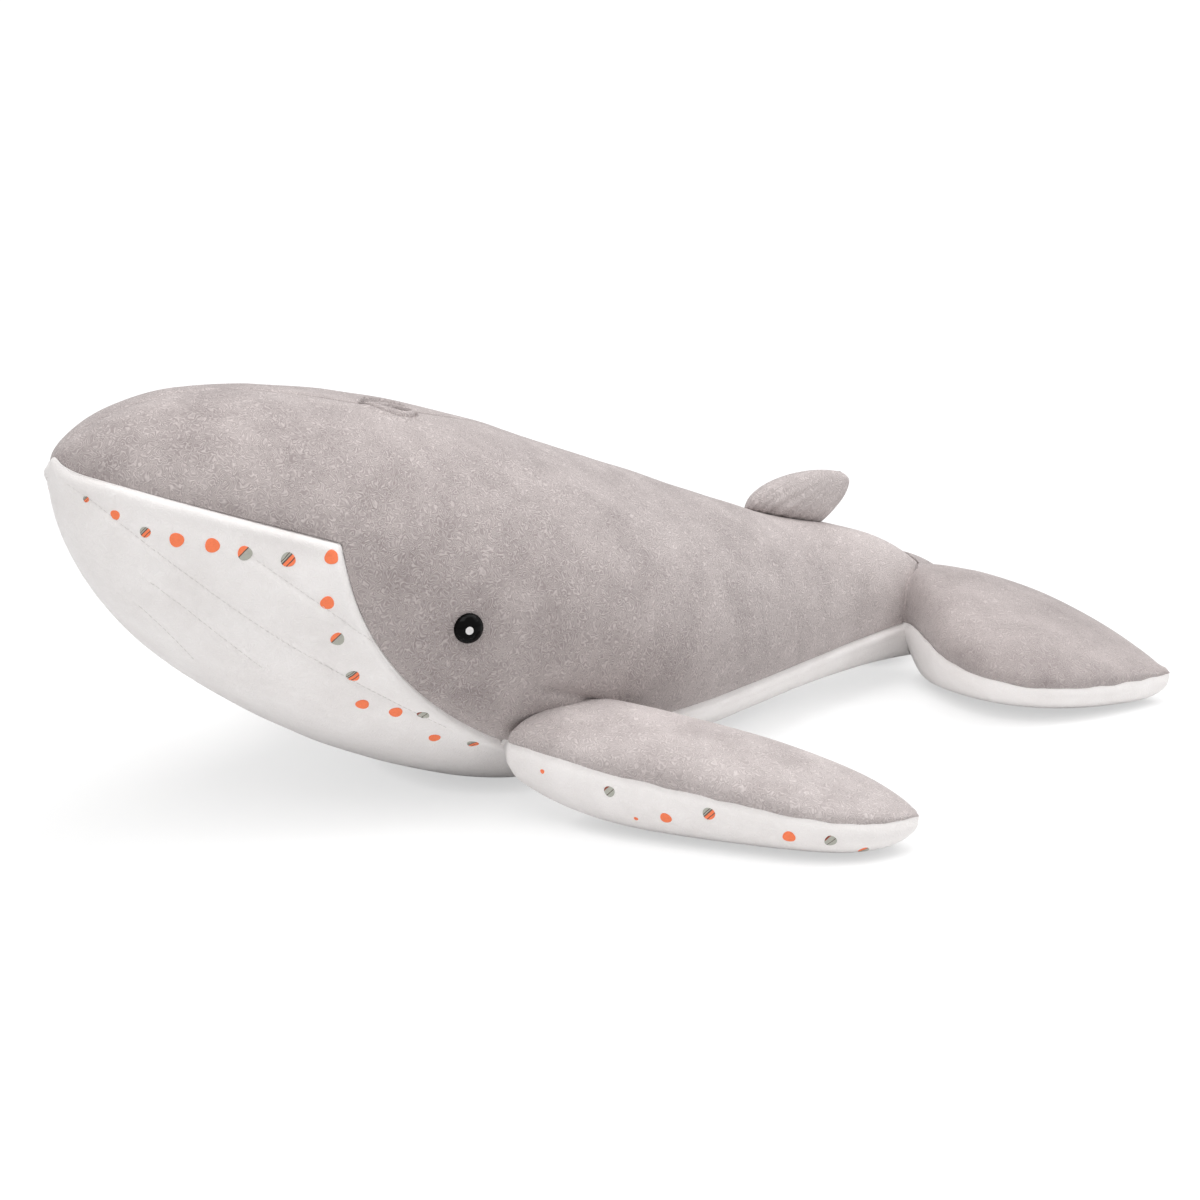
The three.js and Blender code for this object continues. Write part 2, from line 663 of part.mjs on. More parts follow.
const fin = finPieces();
const finGroup = new THREE.Group();
finGroup.add(piece("dorsal_fin_panel_left", fin.left, plush(GREY)));
finGroup.add(piece("dorsal_fin_panel_right", fin.right, plush(GREY)));
finGroup.add(piece("dorsal_fin_filling", fin.filling, plush(FIBRE)));
whale.add(finGroup);

for (const [kind, limb] of [["flipper", flipperLimb()], ["fluke", flukeLimb()]]) {
  for (const [label, side] of sides) {
    const pieces = limbPieces(limb, side);
    const group = new THREE.Group();
    group.add(piece(`${kind}_${label}_top`, pieces.top, plush(GREY)));
    group.add(piece(`${kind}_${label}_underside`, pieces.underside, plush(WHITE)));
    group.add(piece(`${kind}_${label}_filling`, pieces.filling, plush(FIBRE)));
    whale.add(group);
  }
}

// The whale stands centred over the origin
const reach = new THREE.Box3().setFromObject(whale);
whale.position.x = -(reach.min.x + reach.max.x) / 2;

export default whale;
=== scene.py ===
import math

import bmesh
import bpy
import numpy as np
from mathutils import Matrix, Vector, noise
from mathutils.bvhtree import BVHTree
from mathutils.kdtree import KDTree


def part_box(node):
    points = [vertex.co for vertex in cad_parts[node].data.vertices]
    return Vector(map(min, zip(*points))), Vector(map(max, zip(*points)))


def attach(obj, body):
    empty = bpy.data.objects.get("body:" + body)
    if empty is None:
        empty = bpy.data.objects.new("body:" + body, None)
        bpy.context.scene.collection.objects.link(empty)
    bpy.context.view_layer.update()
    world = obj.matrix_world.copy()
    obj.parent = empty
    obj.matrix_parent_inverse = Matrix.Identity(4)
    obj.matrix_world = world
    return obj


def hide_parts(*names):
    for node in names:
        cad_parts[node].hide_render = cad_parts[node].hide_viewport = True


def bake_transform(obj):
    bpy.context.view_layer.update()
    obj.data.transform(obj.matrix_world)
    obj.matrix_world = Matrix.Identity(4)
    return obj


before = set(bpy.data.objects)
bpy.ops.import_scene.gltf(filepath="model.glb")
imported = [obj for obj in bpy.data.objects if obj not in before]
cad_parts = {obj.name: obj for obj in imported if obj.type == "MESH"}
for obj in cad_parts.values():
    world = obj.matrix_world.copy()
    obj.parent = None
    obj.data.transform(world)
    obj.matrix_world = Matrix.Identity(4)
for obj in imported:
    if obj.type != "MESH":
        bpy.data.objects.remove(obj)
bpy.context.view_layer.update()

# Camera: a still camera a long arm's length off the toy's left cheek and a little above it,
# with a lens that is narrow enough to keep the long body from looking drawn out.
LOOK_AT = Vector((-0.0379, 0.0, 0.080))
DISTANCE = 1.650
AZIMUTH = math.radians(36)
ELEVATION = math.radians(14)
LENS = 92.55
FRAMING_ACROSS = 0.0566
FRAMING_UP = 0.004

camera = bpy.data.objects.new("camera", bpy.data.cameras.new("camera"))
camera.data.lens = LENS
camera.data.shift_x = FRAMING_ACROSS
camera.data.shift_y = FRAMING_UP
sideways = Vector((math.cos(AZIMUTH), -math.sin(AZIMUTH), 0))
backwards = Vector((-math.sin(AZIMUTH), -math.cos(AZIMUTH), 0)) * math.cos(ELEVATION)
backwards.z = math.sin(ELEVATION)
turned = Matrix((sideways, backwards.cross(sideways), backwards)).transposed()
camera.matrix_world = Matrix.Translation(LOOK_AT + backwards * DISTANCE) @ turned.to_4x4()
bpy.context.scene.collection.objects.link(camera)
bpy.context.scene.camera = camera
bpy.context.scene.view_settings.view_transform = "Standard"

# Studio: a white table top in a pale room, with two wide soft lamps overhead, one towards the tail
# and one in front of the head, and a weak one low on the side of the tail.
# The table shows white to the camera and keeps the soft shadow that the toy leaves on it; away from
# the toy it fades to the plain white of the room.
TABLE_SIDE = 30.0
TABLE_WHITE = "f4f4f4"
TABLE_GLOW = 1.1
TABLE_SHADE = 0.38
TABLE_FADE = (0.5, 1.2)
CONTACT_REACH = 0.01
CONTACT_SHADE = 0.2
ROOM_WHITE = "ffffff"
ROOM_STRENGTH = 0.3
LAMP_AIM = Vector((0.0, 0.0, 0.05))
LAMPS = {
    "tail_lamp": (Vector((0.9, -0.1, 2.2)), 2.4, 44.0),
    "head_lamp": (Vector((-1.1, -0.5, 2.1)), 1.6, 30.0),
    "side_lamp": (Vector((1.4, -1.3, 1.3)), 1.2, 6.0),
}


def linear(code):
    shares = [int(code[place : place + 2], 16) / 255 for place in (0, 2, 4)]
    straight = [s / 12.92 if s <= 0.04045 else ((s + 0.055) / 1.055) ** 2.4 for s in shares]
    return (*straight, 1.0)


def add(tree, kind, inputs=None, **settings):
    node = tree.nodes.new("ShaderNode" + kind)
    for name, value in settings.items():
        setattr(node, name, value)
    for name, value in (inputs or {}).items():
        if isinstance(value, bpy.types.Node):
            value = value.outputs[0]
        if isinstance(value, bpy.types.NodeSocket):
            tree.links.new(value, node.inputs[name])
        else:
            node.inputs[name].default_value = value
    return node


def blank(name):
    """A material to fill with nodes, its tree, and the place on the object that its patterns follow."""
    material = bpy.data.materials.new(name)
    material.use_nodes = True
    material.node_tree.nodes.clear()
    place = add(material.node_tree, "TexCoord").outputs["Object"]
    return material, material.node_tree, place


room = bpy.data.worlds.new("room")
room.use_nodes = True
bpy.context.scene.world = room
tree = room.node_tree
tree.nodes.clear()
rays = add(tree, "LightPath").outputs
seen = add(tree, "Math", {0: rays["Is Camera Ray"], 1: rays["Is Glossy Ray"]}, operation="MAXIMUM")
seen = add(tree, "Math", {0: seen, 1: rays["Is Transmission Ray"]}, operation="MAXIMUM")
lit = add(tree, "Background", {"Color": linear(ROOM_WHITE), "Strength": ROOM_STRENGTH})
shown = add(tree, "Background", {"Color": linear(ROOM_WHITE), "Strength": 1.0})
mixed = add(tree, "MixShader", {0: seen, 1: lit, 2: shown})
add(tree, "OutputWorld", {"Surface": mixed})

for name, (spot, side, watts) in LAMPS.items():
    lamp = bpy.data.objects.new(name, bpy.data.lights.new(name, "AREA"))
    lamp.data.size = side
    lamp.data.energy = watts
    lamp.location = spot
    lamp.rotation_euler = (LAMP_AIM - spot).to_track_quat("-Z", "Y").to_euler()
    bpy.context.scene.collection.objects.link(lamp)

table_mesh = bpy.data.meshes.new("table")
table_corners = [
    (side * TABLE_SIDE / 2, end * TABLE_SIDE / 2, 0.0)
    for side, end in ((-1, -1), (1, -1), (1, 1), (-1, 1))
]
table_mesh.from_pydata(table_corners, [], [(0, 1, 2, 3)])
table = bpy.data.objects.new("table", table_mesh)
bpy.context.scene.collection.objects.link(table)
laminate, tree, place = blank("white_laminate")
matt = add(tree, "BsdfDiffuse", {"Color": linear(TABLE_WHITE)})
# Painted contact shadow: within a centimetre of the toy, ambient occlusion dims the glow that the camera
# sees.
open_sky = add(tree, "AmbientOcclusion", {"Distance": CONTACT_REACH}).outputs["AO"]
contact = {"Value": open_sky, "To Min": TABLE_GLOW * (1 - CONTACT_SHADE), "To Max": TABLE_GLOW}
bright = add(tree, "MapRange", contact)
glow = add(tree, "Emission", {"Color": linear(ROOM_WHITE), "Strength": bright})
far = add(tree, "VectorMath", {0: place}, operation="LENGTH").outputs["Value"]
fade = {"Value": far, "From Min": TABLE_FADE[0], "From Max": TABLE_FADE[1], "To Min": 1 - TABLE_SHADE}
plain = add(tree, "MapRange", fade, interpolation_type="SMOOTHSTEP")
seen = add(tree, "LightPath").outputs["Is Camera Ray"]
share = add(tree, "Math", {0: seen, 1: plain}, operation="MULTIPLY")
both = add(tree, "MixShader", {0: share, 1: matt, 2: glow})
add(tree, "OutputMaterial", {"Surface": both})
table_mesh.materials.append(laminate)

# Back: two cuts of short crinkled grey plush, sewn together along the middle of the back and pulled
# tight over the stuffing. Sizes are in millimetres from the tip of the snout and from the floor.
MM = 0.001
SNOUT_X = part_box("back_panel_left")[0].x
SNOUT = np.array((SNOUT_X, 0, 0))
BODY_LENGTH = 560
SNOUT_HEIGHT = 191
CROWN_AT = 72
CROWN_HEIGHT = 218
LOIN_AT = 430
LOIN_HEIGHT = 113.5
LOIN_SLOPE = -0.34
TAIL_TOP = 66
TAIL_TOP_SLOPE = -0.7
TAIL_BOTTOM = 11
BELLY_AT = 232
BELLY_END_AT = 275
BODY_WIDTH = 228
WIDEST_AT = 230
TAIL_WIDTH = 48
TAIL_FACE_SIDE = 29
TAIL_FACE_DEPTH = 35
TAIL_RUN_IN = 70
UPPER_ROUND = 1.95
LOWER_ROUND = 2.34
HEAD_WAIST = 0.52
TAIL_WAIST = 0.43
CROWN_CURVE = (1.6, 1.66)
CHIN_CURVE = (1.32, 1.96)
SIDE_CURVE = (1.7, 1.74)

MOUTH_FRONT_HEIGHT = 188.5
SNOUT_SEAM_AT = 0.6
SNOUT_WRAP = 7.0
MOUTH_CORNER_AT = 106
MOUTH_CORNER_HEIGHT = 153
THROAT_DROP = 35
THROAT_BEND = (128, 72)
THROAT_END_AT = 200
BELLY_SEAM_HEIGHT = 38

CLOTH = 1.8
SEAM_DEPTH = 2.1
BACK_SEAM_DEPTH = 1.0
SNOUT_SEAM_REACH = 9
RIDGE_DEPTH = 0.7
RIDGE_REACH = 2.0
RIDGE_TWIST = 0.23
RIDGE_TWIST_AT = 170
RIDGE_TWIST_REACH = 70
SEAM_REACH = 3.2
LUMPS = ((70, 1.1), (26, 0.35))
CREASE = ((209, 69.5), (226, 66), (241, 56))
CREASE_DEPTH = 2.6
CREASE_REACH = 2.6
CURVE_STEPS = 160
LEFT = -1
RIGHT = 1
SIDES = {"left": LEFT, "right": RIGHT}
BACK_ROWS = 300
BACK_COLUMNS = 92
BACK_CROWDING = 0.3
BLOWHOLE_AT = 174
BLOWHOLE_LENGTH = 34
LIP_WIDTHS = {"left": 13, "right": 11}
LIP_WIDEST = 0.55
LIP_POINT = 1.2
LIP_BLUNTNESS = (3, 0.5)
LIP_SWEEP = 0.3
RECESS = 8.5
RECESS_WALL = 1.0
RIM = 1.2
RIM_REACH = 1.3
RIM_ENDS = 3
END_ROWS = 4
THIN = 1e-3
SEWN_TOGETHER = 0.05
SLIVER = 0.02
STUFFING_PRESSURE = 4.0
CLOTH_SLACK = 0.01
SETTLE_FRAMES = 6
SETTLE_QUALITY = 3
SETTLE_MASS = 0.01
SETTLE_EASE = 24
BODY_SWELL = 0.8
LIMB_SWELL = 1.2
FLOOR_GAP = 0.3


def hermite(u, start, end, slope_start, slope_end):
    t = np.clip(u, 0, 1)
    head = (2 * t**3 - 3 * t**2 + 1) * start + (t**3 - 2 * t**2 + t) * slope_start
    return head + (3 * t**2 - 2 * t**3) * end + (t**3 - t**2) * slope_end


def bell(u):
    return np.exp(-(u**2))


def blunt(u, curve):
    return (1 - (1 - np.clip(u, 0, 1)) ** curve[0]) ** (1 / curve[1])


def section(x):
    """Top, bottom, half width and waist height of the body at a distance from the snout."""
    loin_run = LOIN_AT - CROWN_AT
    tail_run = BODY_LENGTH - LOIN_AT
    rear_run = BODY_LENGTH - BELLY_END_AT
    crown = SNOUT_HEIGHT + (CROWN_HEIGHT - SNOUT_HEIGHT) * blunt(x / CROWN_AT, CROWN_CURVE)
    back = hermite((x - CROWN_AT) / loin_run, CROWN_HEIGHT, LOIN_HEIGHT, 0, LOIN_SLOPE * loin_run)
    slopes = (LOIN_SLOPE * tail_run, TAIL_TOP_SLOPE * tail_run)
    stock = hermite((x - LOIN_AT) / tail_run, LOIN_HEIGHT, TAIL_TOP, *slopes)
    top = np.where(x > LOIN_AT, stock, np.where(x > CROWN_AT, back, crown))
    chin = SNOUT_HEIGHT - SNOUT_HEIGHT * blunt(x / BELLY_AT, CHIN_CURVE)
    rear = hermite((x - BELLY_END_AT) / rear_run, 0, TAIL_BOTTOM, 0, -TAIL_BOTTOM)
    bottom = np.where(x > BELLY_END_AT, rear, chin)
    cheek = BODY_WIDTH / 2 * blunt(x / WIDEST_AT, SIDE_CURVE)
    flank_run = (x - WIDEST_AT) / (BODY_LENGTH - WIDEST_AT)
    flank = hermite(flank_run, BODY_WIDTH / 2, TAIL_WIDTH / 2, 0, -TAIL_WIDTH / 2)
    half = np.where(x > WIDEST_AT, flank, cheek)
    waist = bottom + (top - bottom) * (HEAD_WAIST + (TAIL_WAIST - HEAD_WAIST) * x / BODY_LENGTH)
    return top, bottom, half, waist


def body_point(x, angle, side):
    """Points of the body's outside: the angle runs from the ridge of the back to the belly."""
    top, bottom, half, waist = section(x)
    rise = np.sin(angle)
    upper = rise >= 0
    power = np.where(upper, 2 / UPPER_ROUND, 2 / LOWER_ROUND)
    tall = np.where(upper, top - waist, waist - bottom)
    y = side * half * np.sign(np.cos(angle)) * np.abs(np.cos(angle)) ** power
    z = waist + tall * np.sign(rise) * np.abs(rise) ** power
    late = np.clip((x - BODY_LENGTH + TAIL_RUN_IN) / TAIL_RUN_IN, 0, 1)
    along = x - TAIL_FACE_DEPTH * np.abs(y) / TAIL_FACE_SIDE * late**2
    return np.stack([along, y, z], axis=-1)


def seam_angle(x, z):
    top, bottom, _, waist = section(x)
    upper = z >= waist
    tall = np.where(upper, top - waist, waist - bottom)
    round_here = np.where(upper, UPPER_ROUND, LOWER_ROUND)
    height = np.clip(np.abs(z - waist) / np.maximum(tall, 1e-6), 0, 1)
    return np.where(upper, 1, -1) * np.arcsin(height ** (round_here / 2))


def ridge_turn(x):
    """How far the seam of the back lies to the left of the middle, as an angle."""
    return RIDGE_TWIST * bell((x - RIDGE_TWIST_AT) / RIDGE_TWIST_REACH)


def ridge_side(x):
    return body_point(x, math.pi / 2 - ridge_turn(x), LEFT)[..., 1]


def lip_swell(t):
    """How wide the blowhole is along its slit, as a share: pointed in front and blunt behind."""
    growing = np.sin(math.pi / 2 * np.clip(t / LIP_WIDEST, 0, 1)) ** LIP_POINT
    behind = np.clip((t - LIP_WIDEST) / (1 - LIP_WIDEST), 0, 1)
    closing = (1 - behind ** LIP_BLUNTNESS[0]) ** LIP_BLUNTNESS[1]
    return np.maximum(growing * closing, THIN)


def recess_at(x, aside, width):
    """How deep the back is drawn in at the blowhole, with a raised rim round it."""
    t = (x + LIP_SWEEP * aside - BLOWHOLE_AT) / BLOWHOLE_LENGTH + 0.5
    inside = width * lip_swell(t) - aside
    wall = np.clip(inside / RECESS_WALL, 0, 1)
    held = np.clip(lip_swell(t) * RIM_ENDS, 0, 1)
    rim = RIM * held * bell((inside + RIM_REACH) / RIM_REACH)
    return RECESS * wall * wall * (3 - 2 * wall) - rim


def side_point(x, z, side):
    """Points of the body's outside from their place in side view."""
    return body_point(x, seam_angle(x, z), side)


def side_curve(start, bend, end, side):
    """Points of a curve on the body, from its start, bend and end in side view."""
    t = np.linspace(0, 1, CURVE_STEPS)[:, None]
    view = (1 - t) ** 2 * np.array(start) + 2 * t * (1 - t) * np.array(bend) + t**2 * np.array(end)
    return side_point(view[:, 0], view[:, 1], side)


# Side view of the seam between grey and white: over the snout, along the mouth, round the throat,
# then level.
FINE = 400
drop = np.linspace(0, 1, FINE)[:, None]
bend = [
    np.array((MOUTH_CORNER_AT, MOUTH_CORNER_HEIGHT)),
    np.array((MOUTH_CORNER_AT, MOUTH_CORNER_HEIGHT - THROAT_DROP)),
    np.array(THROAT_BEND),
    np.array((THROAT_END_AT, BELLY_SEAM_HEIGHT)),
]
throat = (
    (1 - drop) ** 3 * bend[0]
    + 3 * drop * (1 - drop) ** 2 * bend[1]
    + 3 * drop**2 * (1 - drop) * bend[2]
    + drop**3 * bend[3]
)
mouth_slope = (MOUTH_CORNER_HEIGHT - MOUTH_FRONT_HEIGHT) / MOUTH_CORNER_AT
wrap_bend = MOUTH_FRONT_HEIGHT + mouth_slope * SNOUT_SEAM_AT
wrap_end = MOUTH_FRONT_HEIGHT + mouth_slope * SNOUT_WRAP
snout = (
    (1 - drop) ** 2 * np.array((SNOUT_SEAM_AT, float(section(np.array(SNOUT_SEAM_AT))[0])))
    + 2 * drop * (1 - drop) * np.array((SNOUT_SEAM_AT, wrap_bend))
    + drop**2 * np.array((SNOUT_WRAP, wrap_end))
)
tail = np.array(((BODY_LENGTH, BELLY_SEAM_HEIGHT),))
seam = np.concatenate([snout, throat, tail])
seam_run = np.concatenate([[0], np.cumsum(np.hypot(*np.diff(seam, axis=0).T))])
MOUTH_RUN = seam_run[FINE]
THROAT_RUN = seam_run[2 * FINE - 1]
SEAM_RUN = seam_run[-1]
ROW_CROWDING = 1.35

row_run = SEAM_RUN * np.linspace(0, 1, BACK_ROWS) ** ROW_CROWDING
seam_x = np.interp(row_run, seam_run, seam[:, 0])
seam_z = np.interp(row_run, seam_run, seam[:, 1])
seam_turn = seam_angle(seam_x, seam_z)
seam_points = {side: body_point(seam_x, seam_turn, side) for side in (LEFT, RIGHT)}


def away_from(points, line):
    """Distance of every point from the nearest point of a line of points."""
    finder = KDTree(len(line))
    for place, point in enumerate(line):
        finder.insert(point, place)
    finder.balance()
    nearest = [finder.find(point)[2] for point in points.reshape(-1, 3)]
    return np.array(nearest).reshape(points.shape[:-1])


def outward_of(grid, centre):
    """Direction straight out of the cloth at every point of a grid."""
    along = np.gradient(grid, axis=0)
    across = np.gradient(grid, axis=1)
    out = np.cross(along, across)
    size = np.linalg.norm(out, axis=-1, keepdims=True)
    out = out / np.maximum(size, 1e-9)
    if size[0].max() < 1e-6:
        out[0] = out[1]
    facing = np.sign((out * (grid - centre)).sum(axis=-1).mean())
    return out * (facing if facing else 1.0)


def closed_end(grid):
    """Carries the last row to the middle, along the slanted faces that the flukes are sewn to."""
    rim = grid[-1:]
    rows = [grid]
    for share in np.linspace(0, 1, END_ROWS + 1)[1:]:
        row = rim.copy()
        row[..., 0] += (BODY_LENGTH - rim[..., 0]) * share
        row[..., 1] *= 1 - share
        rows.append(row)
    return np.concatenate(rows)


def lumps_at(grid):
    """Soft unevenness of stuffing under the cloth."""
    flat = grid.reshape(-1, 3)
    total = np.zeros(len(flat))
    for size, height in LUMPS:
        total += height * np.array([noise.noise(Vector(p / size)) for p in flat])
    return total.reshape(grid.shape[:-1])


def read(items, name, width):
    values = np.empty(width * len(items))
    items.foreach_get(name, values)
    return values.reshape(-1, width)


def settle(piece, most):
    """Lets a cut swell over its stuffing by cloth simulation, held along its seams. What is kept is the
    rise straight out of the cloth, eased over the mesh and no more than the most in millimetres."""
    mesh = piece.data
    work = bmesh.new()
    work.from_mesh(mesh)
    held = [corner.index for corner in work.verts if corner.is_boundary]
    work.free()
    seams = piece.vertex_groups.new(name="seams")
    seams.add(held, 1.0, "REPLACE")
    swelling = piece.modifiers.new("stuffing", "CLOTH")
    swelling.settings.vertex_group_mass = seams.name
    swelling.settings.effector_weights.gravity = 0
    swelling.settings.use_pressure = True
    swelling.settings.uniform_pressure_force = STUFFING_PRESSURE
    swelling.settings.shrink_min = -CLOTH_SLACK
    swelling.settings.quality = SETTLE_QUALITY
    swelling.settings.mass = SETTLE_MASS
    swelling.collision_settings.use_collision = False
    swelling.point_cache.frame_end = SETTLE_FRAMES
    for moment in range(1, SETTLE_FRAMES + 1):
        bpy.context.scene.frame_set(moment)
    count = len(mesh.vertices)
    shown = piece.evaluated_get(bpy.context.evaluated_depsgraph_get())
    cut = read(mesh.vertices, "co", 3)
    normals = read(mesh.vertices, "normal", 3)
    swollen = read(shown.data.vertices, "co", 3)
    rise = np.clip(((swollen - cut) * normals).sum(axis=1), 0, most * MM)
    ends = read(mesh.edges, "vertices", 2).astype(int)
    here, there = np.concatenate([ends, ends[:, ::-1]]).T
    for _ in range(SETTLE_EASE):
        rise[held] = 0
        rise = np.bincount(here, rise[there], count) / np.bincount(here, minlength=count)
    rise[held] = 0
    settled = cut + normals * rise[:, None]
    settled[:, 2] = np.maximum(settled[:, 2], np.minimum(cut[:, 2], FLOOR_GAP * MM))
    piece.modifiers.remove(swelling)
    piece.vertex_groups.remove(seams)
    mesh.vertices.foreach_set("co", settled.ravel())
    mesh.update()
    bpy.context.scene.frame_set(1)


def in_frame(points):
    """Points in the shared frame, from millimetres from the tip of the snout."""
    return points * MM + SNOUT


def hung(name, mesh, material):
    mesh.materials.append(material)
    mesh.shade_smooth()
    piece = bpy.data.objects.new(name, mesh)
    bpy.context.scene.collection.objects.link(piece)
    return piece


# The outer faces of every sewn cut, for what is printed on it or sewn to it later.
outsides = {}


def sew(name, grid, material, inside, thickness=CLOTH, swell=0.0):
    """One cut of cloth from a grid of points in millimetres, with its thickness to the inside."""
    rows, columns = grid.shape[:2]
    winding = np.cross(np.gradient(grid, axis=0), np.gradient(grid, axis=1))
    if (outward_of(grid, inside) * winding).sum() > 0:
        grid = grid[:, ::-1]
    corners = in_frame(grid.reshape(-1, 3))
    faces = [
        (r * columns + c, r * columns + c + 1, (r + 1) * columns + c + 1, (r + 1) * columns + c)
        for r in range(rows - 1)
        for c in range(columns - 1)
    ]
    mesh = bpy.data.meshes.new(name)
    mesh.from_pydata(corners.tolist(), [], faces)
    work = bmesh.new()
    work.from_mesh(mesh)
    bmesh.ops.remove_doubles(work, verts=work.verts, dist=SEWN_TOGETHER * MM)
    bmesh.ops.dissolve_degenerate(work, edges=work.edges, dist=SLIVER * MM)
    work.to_mesh(mesh)
    work.free()
    piece = hung(name, mesh, material)
    if swell:
        settle(piece, swell)
    work = bmesh.new()
    work.from_mesh(mesh)
    work.normal_update()
    outsides[name] = BVHTree.FromBMesh(work)
    work.free()
    lining = piece.modifiers.new("thickness", "SOLIDIFY")
    lining.thickness = thickness * MM
    lining.offset = -1
    lining.use_rim = True
    bpy.context.view_layer.objects.active = piece
    bpy.context.view_layer.update()
    with bpy.context.temp_override(object=piece, active_object=piece):
        bpy.ops.object.modifier_apply(modifier=lining.name)
    return piece


def plush(name, light, dark, streaks, patches, depth, tail_light=0.0):
    """Short knitted plush. Its pile lies in small curls, so it shows fine bent lines a hair apart, and
    soft patches where it was stroked one way or the other, with a pale bloom towards the edges. Towards
    the tail it is painted paler by the tail light share, as painted light on the tail."""
    CURL = 4.7
    CURL_LINES = 62.0
    CURL_BEND = 0.5
    CURL_SHARP = 2.0
    CURL_MEAN = 0.375
    TUFT = 1.8
    TUFT_EDGES = (0.2, 0.6)
    PATCH = 30.0
    TAIL_LIGHT_RUN = (400, 540)
    cloth, tree, place = blank(name)
    curls = {"Vector": place, "Scale": 1 / (CURL * MM), "Detail": 1.0, "Distortion": CURL_BEND}
    curl = add(tree, "TexNoise", curls)
    turns = add(tree, "Math", {0: curl, 1: CURL_LINES}, operation="MULTIPLY")
    waves = add(tree, "Math", {0: turns}, operation="SINE")
    ridges = add(tree, "Math", {0: waves, 1: 0.5, 2: 0.5}, operation="MULTIPLY_ADD")
    sharp = add(tree, "Math", {0: ridges, 1: CURL_SHARP}, operation="POWER")
    lines = add(tree, "Math", {0: sharp, 1: CURL_MEAN}, operation="SUBTRACT")
    tufts = add(tree, "TexNoise", {"Vector": place, "Scale": 1 / (TUFT * MM), "Detail": 1.0})
    edges = {"Value": tufts, "From Min": TUFT_EDGES[0], "From Max": TUFT_EDGES[1]}
    standing = add(tree, "MapRange", edges)
    pile = add(tree, "Math", {0: lines, 1: standing}, operation="MULTIPLY")
    patch = {"Vector": place, "Scale": 1 / (PATCH * MM), "Detail": 3.0, "Roughness": 0.6}
    stroked = add(tree, "TexNoise", patch)
    # Painted light: over this run towards the tail the cloth is painted paler.
    begin, end = (SNOUT_X + stop * MM for stop in TAIL_LIGHT_RUN)
    run = {"Value": add(tree, "SeparateXYZ", {0: place}).outputs["X"], "From Min": begin, "From Max": end}
    flat = add(tree, "MapRange", {**run, "To Max": tail_light}, interpolation_type="SMOOTHSTEP")
    naps_and_tail_light = {0: stroked, 1: patches, 2: flat}
    nap_and_tail_light = add(tree, "Math", naps_and_tail_light, operation="MULTIPLY_ADD")
    shades = {0: pile, 1: streaks, 2: nap_and_tail_light}
    shade = add(tree, "Math", shades, operation="MULTIPLY_ADD")
    tints = {"Factor": shade, "A": linear(dark), "B": linear(light)}
    tint = add(tree, "Mix", tints, data_type="RGBA", clamp_factor=False)
    bump = {"Height": pile, "Strength": 0.5, "Distance": depth * MM}
    relief = add(tree, "Bump", bump)
    skin = add(
        tree,
        "BsdfPrincipled",
        {
            "Base Color": tint.outputs["Result"],
            "Roughness": 0.92,
            "Specular IOR Level": 0.15,
            "Sheen Weight": 0.25,
            "Sheen Roughness": 0.5,
            "Normal": relief,
        },
    )
    add(tree, "OutputMaterial", {"Surface": skin})
    return cloth


# The back's grey is painted paler towards the tail: painted light on the tail stock.
grey_plush = plush("grey_crinkle_plush", "cdc3c1", "8f8584", 0.64, 0.9, 0.4, 0.4)
# Paler copy of the grey plush with finer curls, for the flippers and the fin: the paler colour is painted
# light.
paler_plush_painted_light = plush("grey_plush_brushed_and_painted_paler", "ded5d3", "9c9291", 0.5, 0.9, 0.4)
smooth_plush = plush("grey_smooth_plush", "cbc1bf", "8f8584", 0.42, 0.9, 0.3)
MIDDLE = np.array((230.0, 0.0, 95.0))
top_x = np.interp(
    row_run,
    (0, MOUTH_RUN, THROAT_RUN, SEAM_RUN),
    (SNOUT_SEAM_AT, MOUTH_CORNER_AT, THROAT_END_AT, BODY_LENGTH),
)
column = np.linspace(0, 1, BACK_COLUMNS)
column = column - BACK_CROWDING * np.sin(2 * math.pi * column) / (2 * math.pi)
ridge_line = body_point(top_x, math.pi / 2 - ridge_turn(top_x), LEFT)
ridge_depth = RIDGE_DEPTH * (1 - bell(row_run / SNOUT_SEAM_REACH))
ridge_line[:, 2] += lumps_at(ridge_line) - ridge_depth
ridge_line[:, 2] -= np.maximum(recess_at(ridge_line[:, 0], 0, LIP_WIDTHS["right"]), 0)
for label, side in SIDES.items():
    x = top_x[:, None] + (seam_x - top_x)[:, None] * column[None, :]
    start = math.pi / 2 + side * ridge_turn(top_x)
    angle = start[:, None] + (seam_turn - start)[:, None] * column[None, :]
    grid = body_point(x, angle, side)
    out = outward_of(grid, MIDDLE)
    ridge = grid[:, :1]
    depth = BACK_SEAM_DEPTH * (1 - bell(row_run / SNOUT_SEAM_REACH))
    away = away_from(grid, seam_points[side])
    sunk = depth[:, None] * bell(away / SEAM_REACH)
    crease = away_from(grid, side_curve(*CREASE, side))
    sunk += CREASE_DEPTH * bell(crease / CREASE_REACH)
    away = np.linalg.norm(grid - ridge, axis=-1)
    sunk += ridge_depth[:, None] * bell(away / RIDGE_REACH)
    aside = np.abs(grid[..., 1] - ridge_side(grid[..., 0]))
    sunk += np.where(angle > 0, recess_at(grid[..., 0], aside, LIP_WIDTHS[label]), 0)
    grid = grid + out * (lumps_at(grid) - sunk)[..., None]
    grid[:, 0] = ridge_line
    grid[0] = ridge_line[0]
    back = sew(f"back_{label}", closed_end(grid), grey_plush, MIDDLE, swell=BODY_SWELL)
    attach(back, "body")
    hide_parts(f"back_panel_{label}")

